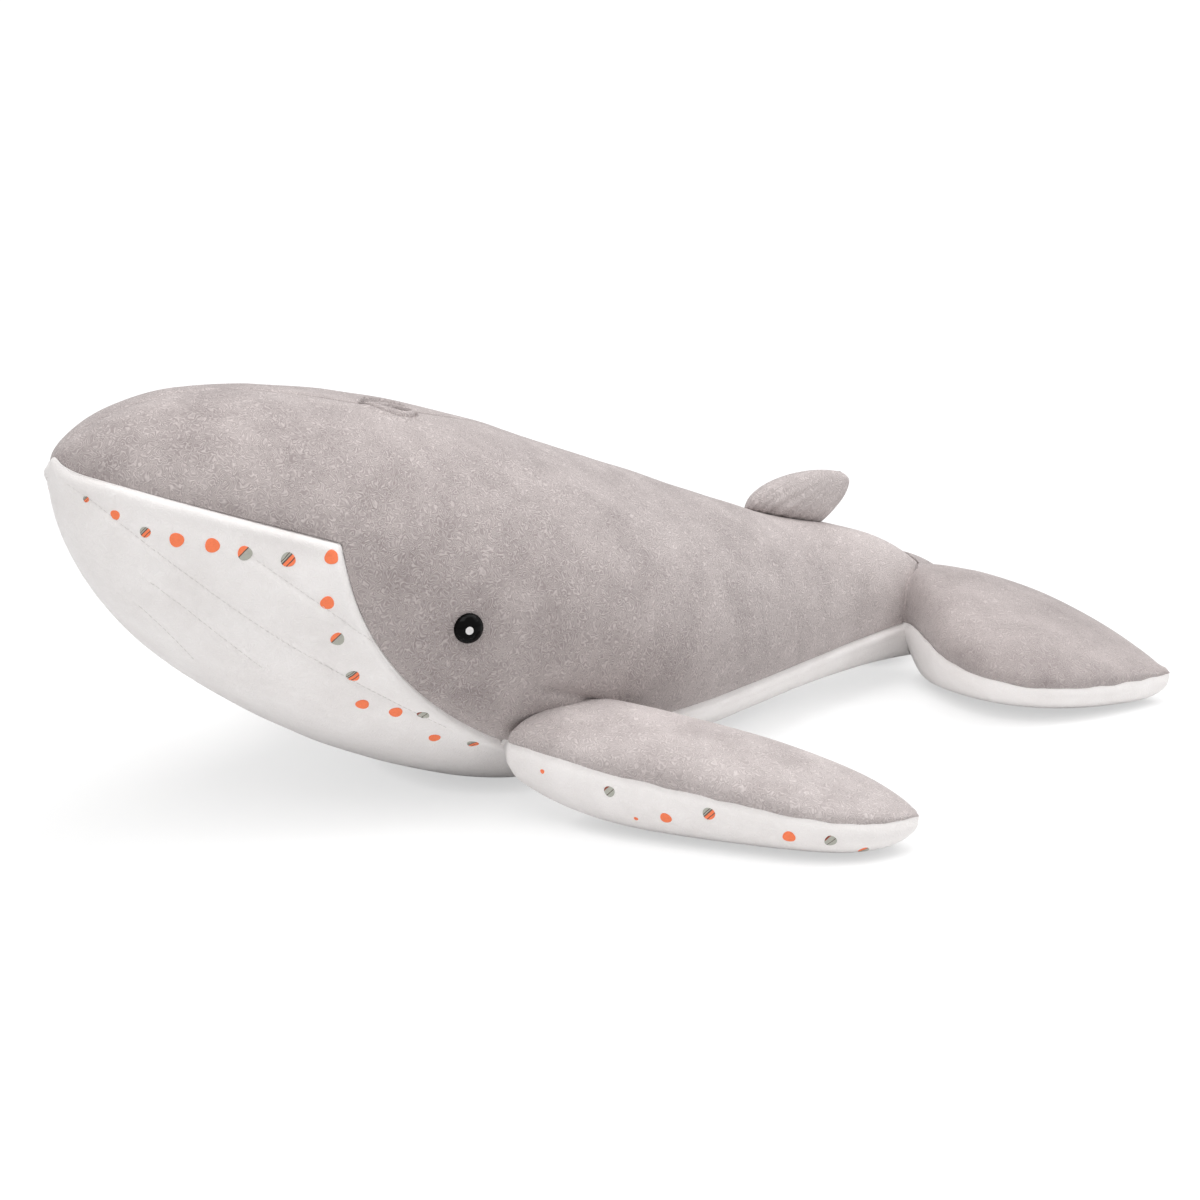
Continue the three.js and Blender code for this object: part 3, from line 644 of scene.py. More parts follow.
# Throat, belly and tail strip: one cut of smooth white plush, its edge standing a little proud of
# the grey where the two are sewn together. The throat is quilted with a few long grooves.
BELLY_COLUMNS = 96
KEEL_CROWDING = 3
CHIN_AT = 85
SNOUT_FAN = 45
BELLY_SEAM_REACH = 2.0
SNOUT_SEAM_EASE = 0.7
BELLY_CROWDING = 1.4
LIP_HEIGHT = 1.3
SNOUT_LIP = 0.5
SNOUT_LIP_REACH = 0.7
LIP_AT = 4.5
LIP_REACH = 3.5
GROOVES = (
    ((1, 183), (56, 111), (167, 51)),
    ((65, 149), (92, 126), (120, 103)),
    ((26, 137), (52, 112), (78, 89)),
    ((27, 123), (42, 106), (57, 90)),
)
GROOVE_DEPTH = 0.8
GROOVE_REACH = 1.8

grooves = {side: [side_curve(*groove, side) for groove in GROOVES] for side in (LEFT, RIGHT)}
white_plush = plush("white_smooth_plush", "fcf9f8", "e8e3e1", 0.2, 1.0, 0.2)
keel_x = BODY_LENGTH * np.linspace(0, 1, 2 * FINE) ** KEEL_CROWDING
keel_run = np.hypot(np.diff(keel_x), np.diff(section(keel_x)[1]))
keel_run = np.concatenate([[0], np.cumsum(keel_run)])
keel_stops = np.interp((0, CHIN_AT, THROAT_END_AT, BODY_LENGTH), keel_x, keel_run)
bottom_run = np.interp(row_run, (0, MOUTH_RUN, THROAT_RUN, SEAM_RUN), keel_stops)
bottom_x = np.interp(bottom_run, keel_run, keel_x)
fan = bell(row_run / SNOUT_FAN)[:, None]
column = np.linspace(0, 1, BELLY_COLUMNS) ** BELLY_CROWDING
halves = []
for side in (LEFT, RIGHT):
    x = seam_x[:, None] + (bottom_x - seam_x)[:, None] * column[None, :]
    angle = seam_turn[:, None] + (-math.pi / 2 - seam_turn)[:, None] * column[None, :]
    aside = (np.sqrt(seam_x) * np.cos(seam_turn))[:, None] * (1 - column)
    above = (np.sqrt(seam_x) * np.sin(seam_turn))[:, None] * (1 - column)
    above = above - np.sqrt(bottom_x)[:, None] * column
    x = x + (aside**2 + above**2 - x) * fan
    angle = angle + (np.arctan2(above, aside) - angle) * fan
    grid = body_point(x, angle, side)
    out = outward_of(grid, MIDDLE)
    away = away_from(grid, seam_points[side])
    reach = LIP_REACH * (1 + SNOUT_LIP_REACH * fan)
    raised = LIP_HEIGHT * (1 + SNOUT_LIP * fan) * bell((away - LIP_AT) / reach)
    depth = SEAM_DEPTH * (1 - SNOUT_SEAM_EASE * bell(row_run / SNOUT_SEAM_REACH))
    sunk = depth[:, None] * bell(away / BELLY_SEAM_REACH)
    for line in grooves[side]:
        sunk += GROOVE_DEPTH * bell(away_from(grid, line) / GROOVE_REACH)
    grid = grid + out * (lumps_at(grid) + raised - sunk)[..., None]
    grid[:, -1, 1] = 0.0
    grid[0, :, 1] = 0.0
    halves.append(grid)
grid = np.concatenate([halves[0], halves[1][:, -2::-1]], axis=1)
grid[..., 2] = np.maximum(grid[..., 2], FLOOR_GAP)
belly = sew("belly", closed_end(grid), white_plush, MIDDLE, swell=BODY_SWELL)
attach(belly, "body")
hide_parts("belly_panel", "body_filling")

# Throat stitches: a running stitch of white thread at the bottom of every groove, painted a little
# greyer than the white plush as painted shade in the groove.
STITCH_PITCH = 3.2
STITCH_LENGTH = 2.5
THREAD_RADIUS = 0.22
THREAD_SIDES = 6
THREAD_POINTS = 4
THREAD_END = 0.4


def mottled(name, dark, light, grain, finish, depth=0.0):
    """Plain material with a faint mottling of a grain in millimetres, and a relief where it has one."""
    material, tree, place = blank(name)
    cloud = add(tree, "TexNoise", {"Vector": place, "Scale": 1 / (grain * MM), "Detail": 2.0})
    tints = {"Factor": cloud, "A": linear(dark), "B": linear(light)}
    tone = add(tree, "Mix", tints, data_type="RGBA").outputs["Result"]
    skin = add(tree, "BsdfPrincipled", {"Base Color": tone, **finish})
    if depth:
        relief = add(tree, "Bump", {"Height": cloud, "Strength": 0.4, "Distance": depth * MM})
        tree.links.new(relief.outputs[0], skin.inputs["Normal"])
    add(tree, "OutputMaterial", {"Surface": skin})
    return material


def on_cloth(name, point):
    """Nearest point of a sewn cut to a point in millimetres, with the direction out of the cloth."""
    near, out, _, _ = outsides[name].find_nearest(Vector(in_frame(point)))
    return (np.array(near) - SNOUT) / MM, np.array(out)


def join_rings(work, rings, sides):
    """Faces between neighbouring rings of corners. A ring of one corner closes an end."""
    faces = []
    for near, far in zip(rings, rings[1:]):
        for k in range(sides):
            corners = [near[k % len(near)], near[(k + 1) % len(near)]]
            corners += [far[(k + 1) % len(far)], far[k % len(far)]]
            faces.append(work.faces.new(list(dict.fromkeys(corners))))
    return faces


def finished(name, work, material):
    """Object of a mesh built in millimetres from the tip of the snout."""
    bmesh.ops.scale(work, vec=(MM, MM, MM), verts=work.verts)
    bmesh.ops.translate(work, vec=(SNOUT_X, 0, 0), verts=work.verts)
    bmesh.ops.recalc_face_normals(work, faces=work.faces)
    mesh = bpy.data.meshes.new(name)
    work.to_mesh(mesh)
    work.free()
    return hung(name, mesh, material)


# The thread is painted greyer than the white plush: painted shade at the bottom of the grooves.
thread_painted_shade = mottled("white_thread_painted_greyer", "d3cecc", "ece8e6", 0.5, {"Roughness": 0.7}, depth=0.1)
thread_turns = np.linspace(0, 2 * math.pi, THREAD_SIDES, endpoint=False)
for label, side in SIDES.items():
    work = bmesh.new()
    for line in grooves[side]:
        run = np.concatenate([[0], np.cumsum(np.linalg.norm(np.diff(line, axis=0), axis=1))])
        for begin in np.arange(STITCH_PITCH, run[-1] - STITCH_PITCH, STITCH_PITCH):
            stops = np.linspace(begin, begin + STITCH_LENGTH, THREAD_POINTS)
            spots = np.stack([np.interp(stops, run, line[:, axis]) for axis in range(3)], axis=-1)
            along = (spots[-1] - spots[0]) / np.linalg.norm(spots[-1] - spots[0])
            rings = []
            for place, spot in enumerate(spots):
                spot, out = on_cloth("belly", spot)
                across = np.cross(along, out)
                thick = THREAD_RADIUS * (1 if 0 < place < THREAD_POINTS - 1 else THREAD_END)
                ways = [across * math.cos(turn) + out * math.sin(turn) for turn in thread_turns]
                rings.append([work.verts.new(spot + thick * way) for way in ways])
            join_rings(work, rings, THREAD_SIDES)
            work.faces.new(rings[0])
            work.faces.new(rings[-1])
    stitches = finished(f"throat_stitches_{label}", work, thread_painted_shade)
    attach(stitches, "body")

# Spots: printed on the white plush, in a row along the mouth and down the throat. Half of them are
# plain and half are striped on the slant.
SPOT_RADIUS = 3.5
SPOT_SIDES = 32
SPOT_RINGS = np.linspace(0, 1, 8)[1:]
SPOT_LIFT = 0.15
SPOT_SINK = 0.3
SPOT_WOBBLE = 0.04
SPOT_LOBES = 3
STRIPE_SPAN = (-3.0, 3.4)
INK_GRAIN = 1.1
PLAIN = 0.0
HALF_ORANGE = -1.8
GREY_BANDS = 0.2
ORANGE_BANDS = 2.2
THROAT_PLAIN = (
    (14.6, 168.8, 0.7, PLAIN),
    (35.9, 157.6, 1.0, PLAIN),
    (49.5, 154.9, 1.0, PLAIN),
    (100.1, 147.1, 1.0, PLAIN),
    (97.5, 125.0, 0.95, PLAIN),
    (122.3, 68.8, 0.95, PLAIN),
    (138.0, 63.5, 0.95, PLAIN),
    (161.9, 46.3, 0.85, PLAIN),
)
THROAT_STRIPED = (
    (6.1, 175.4, 0.45, ORANGE_BANDS),
    (24.6, 161.1, 0.75, ORANGE_BANDS),
    (62.5, 150.8, 1.0, HALF_ORANGE),
    (80.6, 147.0, 1.0, ORANGE_BANDS),
    (103.2, 106.3, 0.95, HALF_ORANGE),
    (113.4, 85.4, 0.95, ORANGE_BANDS),
    (150.7, 61.5, 0.9, GREY_BANDS),
    (181.4, 41.2, 0.85, ORANGE_BANDS),
)


def printed(name, bands):
    """Print on plush: flat ink that takes the soft look of the pile, in bands across each spot."""
    ink, tree, place = blank(name)
    grain = add(tree, "TexNoise", {"Vector": place, "Scale": 1 / (INK_GRAIN * MM), "Detail": 2.0})
    across = add(tree, "Attribute", attribute_name="stripe").outputs["Fac"]
    span = {"From Min": STRIPE_SPAN[0], "From Max": STRIPE_SPAN[1]}
    share = add(tree, "MapRange", {"Value": across, **span})
    ramp = add(tree, "ValToRGB", {"Fac": share})
    ramp.color_ramp.interpolation = "CONSTANT"
    while len(ramp.color_ramp.elements) < len(bands):
        ramp.color_ramp.elements.new(1.0)
    for element, (begin, code) in zip(ramp.color_ramp.elements, bands):
        element.position = begin
        element.color = linear(code)
    worn = add(tree, "MapRange", {"Value": grain, "To Min": 0.88, "To Max": 1.08})
    tone = add(tree, "VectorMath", {0: ramp, 1: worn}, operation="MULTIPLY")
    relief = add(tree, "Bump", {"Height": grain, "Strength": 0.4, "Distance": 0.2 * MM})
    look = {"Base Color": tone, "Roughness": 0.85, "Normal": relief}
    skin = add(tree, "BsdfPrincipled", look)
    add(tree, "OutputMaterial", {"Surface": skin})
    return ink


INK_ORANGE = "ff8558"
INK_GREY = "b3b3a9"
INK_DARK = "5f514c"
INK_RED = "8f4536"
STRIPES = (
    (0.0, INK_ORANGE),
    (0.14, INK_DARK),
    (0.163, INK_GREY),
    (0.344, INK_RED),
    (0.391, INK_GREY),
    (0.516, INK_DARK),
    (0.539, INK_GREY),
    (0.719, INK_DARK),
    (0.742, INK_GREY),
    (0.766, INK_DARK),
    (0.797, INK_ORANGE),
    (0.875, INK_DARK),
    (0.898, INK_ORANGE),
)
prints = {
    "plain": printed("orange_print", ((0.0, INK_ORANGE),)),
    "striped": printed("striped_print", STRIPES),
}


def print_spots(name, cut, centres, sizes, shifts, material):
    """Round flat prints that follow the cloth of a cut, each as a thin closed sheet."""
    work = bmesh.new()
    stripe = work.verts.layers.float.new("stripe")
    for count, (centre, size, shift) in enumerate(zip(centres, sizes, shifts)):
        middle, out = on_cloth(cut, centre)
        upward = np.array((0, 0, 1.0)) - out * out[2]
        upward = upward / np.linalg.norm(upward)
        rearward = np.cross(upward, out)
        rearward = rearward * (1 if rearward[0] > 0 else -1)

        def drop(away, turn, height):
            wobble = 1 + SPOT_WOBBLE * math.sin(SPOT_LOBES * turn + count)
            flat = away * wobble * (rearward * math.cos(turn) + upward * math.sin(turn))
            near, way = on_cloth(cut, middle + flat * SPOT_RADIUS * size)
            corner = work.verts.new(near + way * height)
            corner[stripe] = away * math.sin(math.pi / 4 - turn) + shift
            return corner

        turns = np.linspace(0, 2 * math.pi, SPOT_SIDES, endpoint=False)
        rings = [[drop(0, 0, SPOT_LIFT)]]
        rings += [[drop(away, turn, SPOT_LIFT) for turn in turns] for away in SPOT_RINGS]
        rings += [[drop(away, turn, -SPOT_SINK) for turn in turns] for away in SPOT_RINGS[::-1]]
        rings += [[drop(0, 0, -SPOT_SINK)]]
        join_rings(work, rings, SPOT_SIDES)
    return finished(name, work, material)


for label, side in SIDES.items():
    for kind, places in (("plain", THROAT_PLAIN), ("striped", THROAT_STRIPED)):
        view = np.array(places)
        centres = side_point(view[:, 0], view[:, 1], side)
        name = f"throat_spots_{kind}_{label}"
        dots = print_spots(name, "belly", centres, view[:, 2], view[:, 3], prints[kind])
        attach(dots, "body")

# Eyes: black safety eyes, moulded and polished, with a pale dot printed on the dome. The shank goes
# through the plush to a lock washer inside.
EYE_AT = 164.5
EYE_HEIGHT = 106.8
EYE_RADIUS = 7.6
EYE_RIM = 0.9
EYE_DOME = 4.6
EYE_SKIRT = 0.2
EYE_BEVEL = 0.4
EYE_SINK = 0.6
PUPIL_RADIUS = 2.0
PUPIL_AHEAD = 1.7
EYE_SIDES = 64
EYE_RINGS = 14


def flank(x, z, side):
    """Point of the flank at a height, with the direction out of the cloth and the one to the tail."""
    point, behind, above = side_point(np.array((x, x + 1, x)), np.array((z, z, z + 1)), side)
    along = behind - point
    out = np.cross(above - point, along)
    out = out / np.linalg.norm(out)
    return point, out * (1 if out[1] * side > 0 else -1), along / np.linalg.norm(along)


POLISH_GRAIN = 2.5
gloss_black, tree, place = blank("polished_black_plastic")
haze = add(tree, "TexNoise", {"Vector": place, "Scale": 1 / (POLISH_GRAIN * MM), "Detail": 2.0})
wear = add(tree, "MapRange", {"Value": haze, "To Min": 0.07, "To Max": 0.13})
look = {"Base Color": linear("080707"), "Roughness": wear, "Specular IOR Level": 0.06}
shell = add(tree, "BsdfPrincipled", look)
add(tree, "OutputMaterial", {"Surface": shell})
print_finish = {"Roughness": 0.35, "Specular IOR Level": 0.3}
pale_print = mottled("pale_pad_print", "cfcbca", "ebe9e8", 1.2, print_finish)

for label, side in SIDES.items():
    point, out, along = flank(EYE_AT, EYE_HEIGHT, side)
    rising = np.cross(out, along)
    rising = rising * (1 if rising[2] > 0 else -1)
    steps = [0.0, PUPIL_RADIUS / EYE_RADIUS]
    steps += list(np.sin(np.linspace(math.asin(steps[1]), math.pi / 2, EYE_RINGS))[1:])
    dome_rings = [(EYE_RADIUS * step, None) for step in steps]
    dome_rings += [(EYE_RADIUS, EYE_SKIRT), (EYE_RADIUS - EYE_BEVEL, -EYE_SINK), (0.0, -EYE_SINK)]
    turns = np.linspace(0, 2 * math.pi, EYE_SIDES, endpoint=False)
    work = bmesh.new()
    rings = []
    for radius, lift in dome_rings:
        ring = []
        for turn in turns if radius else turns[:1]:
            flat = (along * math.cos(turn) + rising * math.sin(turn)) * radius
            height = lift
            if lift is None:
                flat = flat - along * PUPIL_AHEAD * (1 - radius / EYE_RADIUS)
                share = min(float(flat @ flat) / EYE_RADIUS**2, 1)
                height = EYE_RIM + EYE_DOME * math.sqrt(1 - share)
            ring.append(work.verts.new(point + flat + out * height))
        rings.append(ring)
    for face in join_rings(work, rings, EYE_SIDES)[:EYE_SIDES]:
        face.material_index = 1
    dome = finished(f"eye_dome_{label}", work, gloss_black)
    dome.data.materials.append(pale_print)
    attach(dome, "body")
    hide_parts(f"eye_{label}")

# Eye washers: pressed rings of white nylon behind the plush, as drawn in the CAD.
nylon = mottled("white_nylon", "d8d6d0", "ecebe6", 3.0, {"Roughness": 0.45})
for label in ("left", "right"):
    washer = bpy.data.objects[f"eye_washer_{label}"]
    for slot in washer.material_slots:
        slot.material = nylon

# Blowhole: two flat lips of the same grey plush, set into the back on its seam. They are turned in at
# the slit between them, which gapes towards the rear, and tucked under the rim of the back.
SLIT = 4.4
LIP_INSET = 2.0
SLIT_GAPES_AT = 0.7
SLIT_REACH = 0.16
LIP_PUFFS = {"left": 1.5, "right": 0.9}
LIP_FLATNESS = 0.5
LIP_TUCK = 5.5
LIP_TURNS = (6, 9)
LIP_ENDS = 2
LIP_LEAST = 0.1
LIP_CLOTH = 0.5
SLIT_MOST = 0.4
LIP_MIDDLE = 150.0
LIP_STATIONS = 32
LIP_COLUMNS = 20


def back_height(x, y):
    top, _, half, waist = section(np.asarray(x, float))
    return waist + (top - waist) * (1 - (np.abs(y) / half) ** UPPER_ROUND) ** (1 / UPPER_ROUND)


for label, side in SIDES.items():
    t = np.linspace(0, 1, LIP_STATIONS)[:, None]
    across = (1 - np.cos(np.linspace(0, math.pi, LIP_COLUMNS)[None, :])) / 2
    wide = np.maximum(LIP_WIDTHS[label] * lip_swell(t) - LIP_INSET, LIP_LEAST)
    gape = np.minimum(SLIT * bell((t - SLIT_GAPES_AT) / SLIT_REACH), SLIT_MOST * wide)
    aside = gape + (wide - gape) * across
    x = BLOWHOLE_AT + BLOWHOLE_LENGTH * (t - 0.5) - LIP_SWEEP * aside
    y = side * aside + ridge_side(x)
    puff = LIP_PUFFS[label] * np.sin(math.pi * across) ** LIP_FLATNESS
    puff = puff - LIP_TUCK * (across ** LIP_TURNS[0] + (1 - across) ** LIP_TURNS[1])
    grid = np.stack([x, y, back_height(x, y)], axis=-1)
    grid[..., 2] += lumps_at(grid) + np.minimum(lip_swell(t) * LIP_ENDS, 1) * puff
    under = np.array((BLOWHOLE_AT, float(y.mean()), LIP_MIDDLE))
    fold = sew(f"blowhole_lip_{label}", grid, grey_plush, under, LIP_CLOTH)
    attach(fold, "body")
    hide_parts(f"blowhole_fold_{label}")

# Dorsal fin: two small cuts of brushed grey plush, painted paler than the back as painted light,
# sewn along the edge, stuffed and sewn down to the back, where the stitches draw its base into
# small puckers.
FIN_AT = 427
FIN_BASE = 57
FIN_HEIGHT = 30.5
FIN_LEAN = 65
FIN_REAR_LEAN = 15.5
FIN_REAR_FULL = 0.85
FIN_TIP_FROM = 0.8
FIN_TIP_CURVE = 3.5
FIN_THICKNESS = 17
FIN_THINS = 3
FIN_ROOT = 3.5
FIN_SWELL = 1.4
FIN_SIDE_ROUND = 0.9
FIN_SEAT = 0.5
FIN_SEWN_IN = 1.6
FIN_SEWN_CURVE = 6
FIN_MIDDLE = (0.6, 0.4)
FIN_LUMPS = 0.4
FIN_LEAD_CURVE = (1.67, 0.56)
FIN_CLOTH = 0.5
FIN_ROWS = 30
FIN_COLUMNS = 40
PUCKER = 1.1
PUCKER_WAVES = (21, 9)
PUCKER_STRAY = (1.4, 5)
PUCKER_FADE = 3.2
BLEND = 4


def soft_min(a, b):
    return (a**-BLEND + b**-BLEND) ** (-1 / BLEND)


foot = np.array((FIN_AT, 0.0, float(back_height(FIN_AT, 0.0))))
heel = np.array((FIN_AT + FIN_BASE, 0.0, float(back_height(FIN_AT + FIN_BASE, 0.0))))
fin_along = (heel - foot) / np.linalg.norm(heel - foot)
fin_up = np.array((-fin_along[2], 0.0, fin_along[0]))
share = np.sin(np.linspace(0, math.pi / 2, FIN_ROWS))[:, None]
turn = np.linspace(0, math.pi, FIN_COLUMNS)[None, :]
lead = FIN_LEAN * (1 - (1 - share ** FIN_LEAD_CURVE[0]) ** FIN_LEAD_CURVE[1])
trail = FIN_BASE + FIN_REAR_LEAN * np.sin(math.pi / 2 * np.clip(share / FIN_REAR_FULL, 0, 1))
rounding = np.clip((share - FIN_TIP_FROM) / (1 - FIN_TIP_FROM), 0, 1) ** FIN_TIP_CURVE
trail = trail - (FIN_BASE + FIN_REAR_LEAN - FIN_LEAN) * rounding
bulge = FIN_THICKNESS / 2 * np.sqrt(np.clip(1 - share**FIN_THINS, 0, 1))
thick = soft_min(FIN_ROOT + FIN_HEIGHT * share * FIN_SWELL, np.maximum(bulge, THIN))
reach = (lead + trail) / 2 + (trail - lead) / 2 * np.cos(turn)
rise = FIN_HEIGHT * share + FIN_SEAT * (1 - share) - FIN_SEWN_IN * (1 - share) ** FIN_SEWN_CURVE
rise = rise + 0 * turn
wave = turn * PUCKER_WAVES[0] + share * PUCKER_WAVES[1]
wave = wave + PUCKER_STRAY[0] * np.sin(turn * PUCKER_STRAY[1])
pucker = PUCKER * np.sin(wave) * np.exp(-share * PUCKER_FADE)
middle = foot + fin_along * FIN_BASE * FIN_MIDDLE[0] + fin_up * FIN_HEIGHT * FIN_MIDDLE[1]
for label, side in SIDES.items():
    across = side * (thick * np.sin(turn) ** FIN_SIDE_ROUND + pucker * np.sin(turn))
    grid = foot + fin_along * reach[..., None] + fin_up * rise[..., None]
    grid = grid + np.array((0, 1.0, 0)) * across[..., None]
    grid = grid + outward_of(grid, middle) * (FIN_LUMPS * lumps_at(grid))[..., None]
    grid[:, 0, 1] = 0.0
    grid[:, -1, 1] = 0.0
    half_fin = sew(f"dorsal_fin_{label}", grid, paler_plush_painted_light, middle, FIN_CLOTH, LIMB_SWELL)
    nodes = [f"dorsal_fin_panel_{label}"] + (["dorsal_fin_filling"] if side == LEFT else [])
    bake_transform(half_fin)
    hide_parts(*nodes)

# Flippers: a grey cut above and a white cut below, sewn round the edge, stuffed and sewn to the flank.
# They are swept back and lie on the floor, the grey is brushed and painted paler than on the back,
# as painted light on their tops, and the white has the same printed spots as the throat.
ROOT_ROLL = 4
ROOT_STAND = 3.3
FLIPPER_AT = 234
FLIPPER_SEAT_HEIGHT = 44
FLIPPER = {
    "length": 178.4,
    "sweep": 33,
    "full_at": 68.4,
    "lead": {"sizes": (37.1, 46.5), "full_at": 83.5, "taper": (3.7, 0.78), "growth": 0.153},
    "trail": {"sizes": (24.7, 33), "full_at": 68.4, "taper": (3.7, 0.78)},
    "crest": {"sizes": (16.3, 18.3), "full_at": 68.4, "taper": (1.6, 0.75)},
    "resting": {"sizes": (1, 1), "full_at": 68.4, "taper": (8, 0.45)},
    "top_ramp": (3.8, 79.8),
    "under_ramp": (29, 28),
    "seam": {"root_height": 40.2, "tip_height": 17.6, "curve": 0.94, "lift": 2.9},
    "rounds": (2.3, 2.7),
}
FLIPPER_HUG = 1.2
FLIPPER_SEWN_IN = 0.8
FLIPPER_PLAIN = (
    (19.1, 0.05, 0.33, PLAIN),
    (51.1, 0.175, 0.33, PLAIN),
    (63.8, 0.125, 0.85, PLAIN),
    (125.3, 0.1, 0.9, PLAIN),
)
FLIPPER_STRIPED = (
    (43.1, 0.05, 0.8, GREY_BANDS),
    (86.0, 0.05, 0.9, ORANGE_BANDS),
    (144.4, 0.1, 0.85, GREY_BANDS),
    (157.3, 0.25, 0.8, HALF_ORANGE),
)
LIMB_ROWS = 64
LIMB_COLUMNS = 40
LIMB_START = -2
LIFT_REACH = 38.6
LIMB_CLOTH = 0.7
LIMB_SEAM_DEPTH = 1.4
LIMB_LUMPS = 0.5
EDGE_WAVE = 1.0
EDGE_WAVE_SIZE = 11
EDGE_WAVE_REACH = 5
TIP_SEAM = 0.2
TIP_ROUND = 3.5
TIP_HALF = 3.2
TIP_EDGE = 5


def swell_to(x, length, sizes, full_at, taper, growth=1):
    root, full = sizes
    growing = root + (full - root) * np.sin(math.pi / 2 * np.clip(x / full_at, 0, 1)) ** growth
    t = np.clip((x - full_at) / (length - full_at), 0, 1)
    return np.maximum(np.where(x < full_at, growing, full * (1 - t ** taper[0]) ** taper[1]), THIN)


def soft_max(a, b):
    return (a**BLEND + b**BLEND) ** (1 / BLEND)


def rounded_tip(x, length, half):
    """Half thickness of the rounded end of a limb."""
    return half * np.sqrt(1 - np.clip((x - length + TIP_ROUND) / TIP_ROUND, 0, 1) ** 2)


def limb_frame(seat, out, along, sweep):
    """Where a limb leaves the body: its hinge line, its direction and its chords at root and tip."""
    axis = seat + out * ROOT_STAND
    turn = math.radians(sweep)
    span = np.array((math.sin(turn), -math.cos(turn), 0))
    chord = np.array((along[0], along[1], 0)) / math.hypot(along[0], along[1])
    tip_chord = np.array((math.cos(turn), math.sin(turn), 0))
    return axis, span, chord, tip_chord


def limb_seam(x, length, root_height, tip_height, curve, lift=0.0):
    """Height of the seam round a limb's edge, from its root to its tip."""
    run = np.clip((x - ROOT_ROLL) / (length - ROOT_ROLL), 0, 1)
    height = tip_height + (root_height - tip_height) * (1 - run) ** curve
    return height + lift * bell(np.clip(x, 0, None) / LIFT_REACH)


def root_ramp(x, half, degrees):
    return half + np.clip(x, 0, None) * math.tan(math.radians(degrees))


def limb_stations(length):
    return LIMB_START + (length - LIMB_START) * (1 - np.cos(np.linspace(0, math.pi, LIMB_ROWS))) / 2


def limb_sizes(x, limb):
    """How far a limb reaches over and under its seam, ahead and behind, and the height of the seam."""
    length = limb["length"]
    height = limb_seam(x, length, **limb["seam"])
    crest = soft_max(swell_to(x, length, **limb["crest"]), rounded_tip(x, length, TIP_HALF))
    resting = height * swell_to(x, length, **limb["resting"])
    upper = soft_min(root_ramp(x, *limb["top_ramp"]), crest)
    lower = soft_min(root_ramp(x, *limb["under_ramp"]), resting)
    end = rounded_tip(x, length, TIP_EDGE)
    lead, trail = (soft_max(swell_to(x, length, **limb[edge]), end) for edge in ("lead", "trail"))
    return upper, lower, lead, trail, height


def limb_grid(place, x, limb):
    """Rings of a limb round its seam, from the trailing edge over the top and back underneath."""
    axis, span, chord, tip_chord = place
    upper, lower, lead, trail, height = (size[:, None] for size in limb_sizes(x, limb))
    t = np.clip(x / limb["full_at"], 0, 1)[:, None]
    chords = chord + (tip_chord - chord) * t * t * (3 - 2 * t)
    chords = chords / np.linalg.norm(chords, axis=1, keepdims=True)
    middle = axis + span * (x - ROOT_ROLL)[:, None]
    middle[:, 2:] = height
    turn = np.linspace(0, 2 * math.pi, 2 * LIMB_COLUMNS + 1)[None, :]
    over = np.sin(turn) >= 0
    power = np.where(over, 2 / limb["rounds"][0], 2 / limb["rounds"][1])
    reach = np.abs(np.cos(turn)) ** power * np.where(np.cos(turn) >= 0, trail, -lead)
    rise = np.abs(np.sin(turn)) ** power * np.where(over, upper, -lower)
    grid = middle[:, None, :] + chords[:, None, :] * reach[..., None]
    grid[..., 2] += rise
    return grid


def limb_panels(kind, grid, label, side, top_cloth):
    """Sews a limb's top and underside from its rings, on the left or mirrored to the right."""
    middle = grid.mean(axis=(0, 1))
    edge = np.concatenate([grid[:, 0], grid[:, LIMB_COLUMNS]])
    wrapped = np.concatenate([grid[:, -2:-1], grid, grid[:, 1:2]], axis=1)
    out = outward_of(wrapped, middle)[:, 1:-1]
    tall = grid[..., 2].max(axis=1) - grid[..., 2].min(axis=1)
    wide = np.linalg.norm(grid[:, 0] - grid[:, LIMB_COLUMNS], axis=1)
    deep = np.minimum(LIMB_SEAM_DEPTH, TIP_SEAM * np.minimum(tall, wide))[:, None]
    away = away_from(grid, edge)
    sunk = deep * bell(away / SEAM_REACH)
    ripple = np.array([noise.noise(Vector(p / EDGE_WAVE_SIZE)) for p in grid.reshape(-1, 3)])
    ripple = ripple.reshape(away.shape) * bell(away / EDGE_WAVE_REACH)
    grid = grid + out * (LIMB_LUMPS * lumps_at(grid) - sunk)[..., None]
    grid[..., 2] += EDGE_WAVE * ripple
    grid[:, -1] = grid[:, 0]
    grid[..., 2] = np.maximum(grid[..., 2], FLOOR_GAP)
    flip = np.array((1, 1 if side == LEFT else -1, 1))
    cuts = {
        "top": (grid[:, : LIMB_COLUMNS + 1], top_cloth, "plush_grey"),
        "underside": (grid[:, LIMB_COLUMNS:], white_plush, "plush_white"),
    }
    for cut, (points, cloth, slot) in cuts.items():
        name = f"{kind}_{label}_{cut}_cloth"
        piece = sew(name, points * flip, cloth, middle * flip, LIMB_CLOTH, LIMB_SWELL)
        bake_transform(piece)
        nodes = [f"{kind}_{label}_{cut}"]
        if cut == "underside":
            nodes.append(f"{kind}_{label}_filling")
        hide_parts(*nodes)


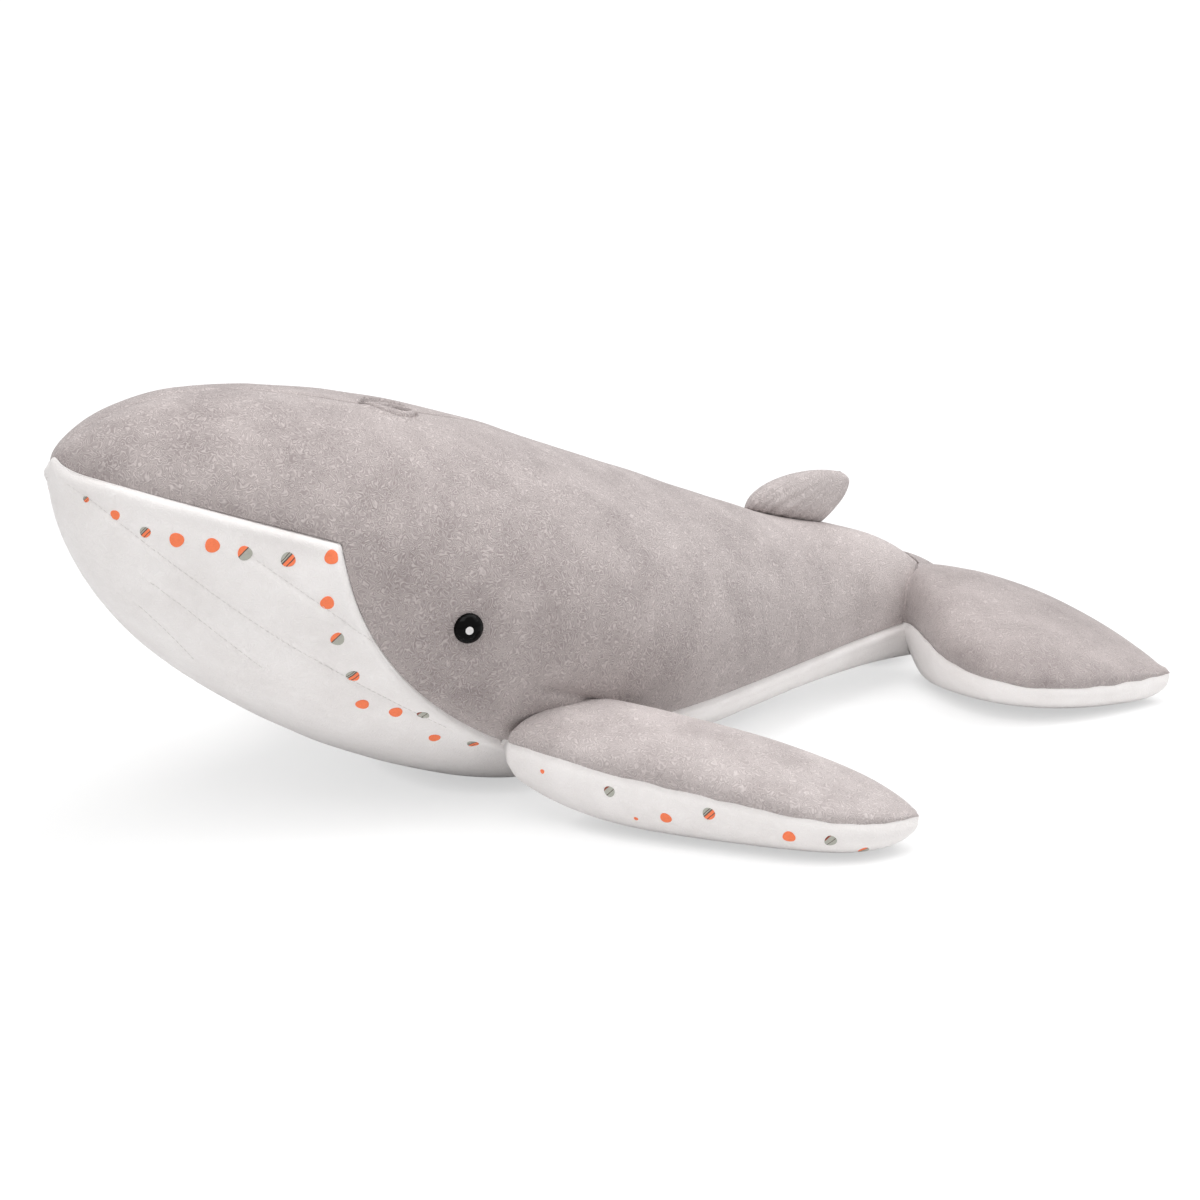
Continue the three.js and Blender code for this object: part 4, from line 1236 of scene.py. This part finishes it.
seat, out, along = flank(FLIPPER_AT, FLIPPER_SEAT_HEIGHT, LEFT)
flipper_place = limb_frame(seat, out, along, FLIPPER["sweep"])
x = limb_stations(FLIPPER["length"])
flipper_rings = limb_grid(flipper_place, x, FLIPPER)
for row in np.flatnonzero(x < FLIPPER_HUG):
    hold = (1 - max(x[row], 0) / FLIPPER_HUG) ** 2
    for spot in flipper_rings[row]:
        point = Vector(in_frame(spot))
        found = [outsides[name].find_nearest(point) for name in ("back_left", "belly")]
        near, way, _, _ = min(found, key=lambda hit: hit[3])
        goal = (np.array(near - way * FLIPPER_SEWN_IN * MM) - SNOUT) / MM
        spot += (goal - spot) * hold
underside = flipper_rings[:, LIMB_COLUMNS:]
start = flipper_place[0] - flipper_place[1] * ROOT_ROLL
for label, side in SIDES.items():
    limb_panels("flipper", flipper_rings, label, side, paler_plush_painted_light)
    flip = np.array((1, 1 if side == LEFT else -1, 1))
    for kind, places in (("plain", FLIPPER_PLAIN), ("striped", FLIPPER_STRIPED)):
        view = np.array(places)
        rows = np.abs(x[:, None] - view[None, :, 0]).argmin(axis=0)
        columns = np.rint(view[:, 1] * LIMB_COLUMNS).astype(int)
        name = f"flipper_spots_{kind}_{label}"
        cut = f"flipper_{label}_underside_cloth"
        centres = underside[rows, columns] * flip
        dots = print_spots(name, cut, centres, view[:, 2], view[:, 3], prints[kind])
        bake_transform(dots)

# Flukes: the two halves of the tail, each a grey cut above and a white cut below, sewn round the edge,
# stuffed and sewn to the slanted end of the body.
FLUKE_SEAT_HEIGHT = 38
FLUKE = {
    "length": 151.4,
    "sweep": 33.5,
    "full_at": 32.4,
    "lead": {"sizes": (20, 87.5), "full_at": 70.3, "taper": (1.95, 1.01)},
    "trail": {"sizes": (21, 55), "full_at": 70.3, "taper": (1.95, 1.01)},
    "crest": {"sizes": (33, 33), "full_at": 32.4, "taper": (1.5, 0.9)},
    "resting": {"sizes": (1, 1), "full_at": 32.4, "taper": (10, 0.45)},
    "top_ramp": (25, 66),
    "under_ramp": (17, 66),
    "seam": {"root_height": FLUKE_SEAT_HEIGHT, "tip_height": 17, "curve": 1.28},
    "rounds": (2.2, 2.0),
}

face_norm = math.hypot(TAIL_FACE_SIDE, TAIL_FACE_DEPTH)
out = np.array((TAIL_FACE_SIDE, -TAIL_FACE_DEPTH, 0)) / face_norm
along = np.array((TAIL_FACE_DEPTH, TAIL_FACE_SIDE, 0)) / face_norm
seat = np.array((BODY_LENGTH - TAIL_FACE_DEPTH / 2, -TAIL_FACE_SIDE / 2, FLUKE_SEAT_HEIGHT))
fluke_place = limb_frame(seat, out, along, FLUKE["sweep"])
fluke_rings = limb_grid(fluke_place, limb_stations(FLUKE["length"]), FLUKE)
start = fluke_place[0] - fluke_place[1] * ROOT_ROLL
for label, side in SIDES.items():
    limb_panels("fluke", fluke_rings, label, side, smooth_plush)
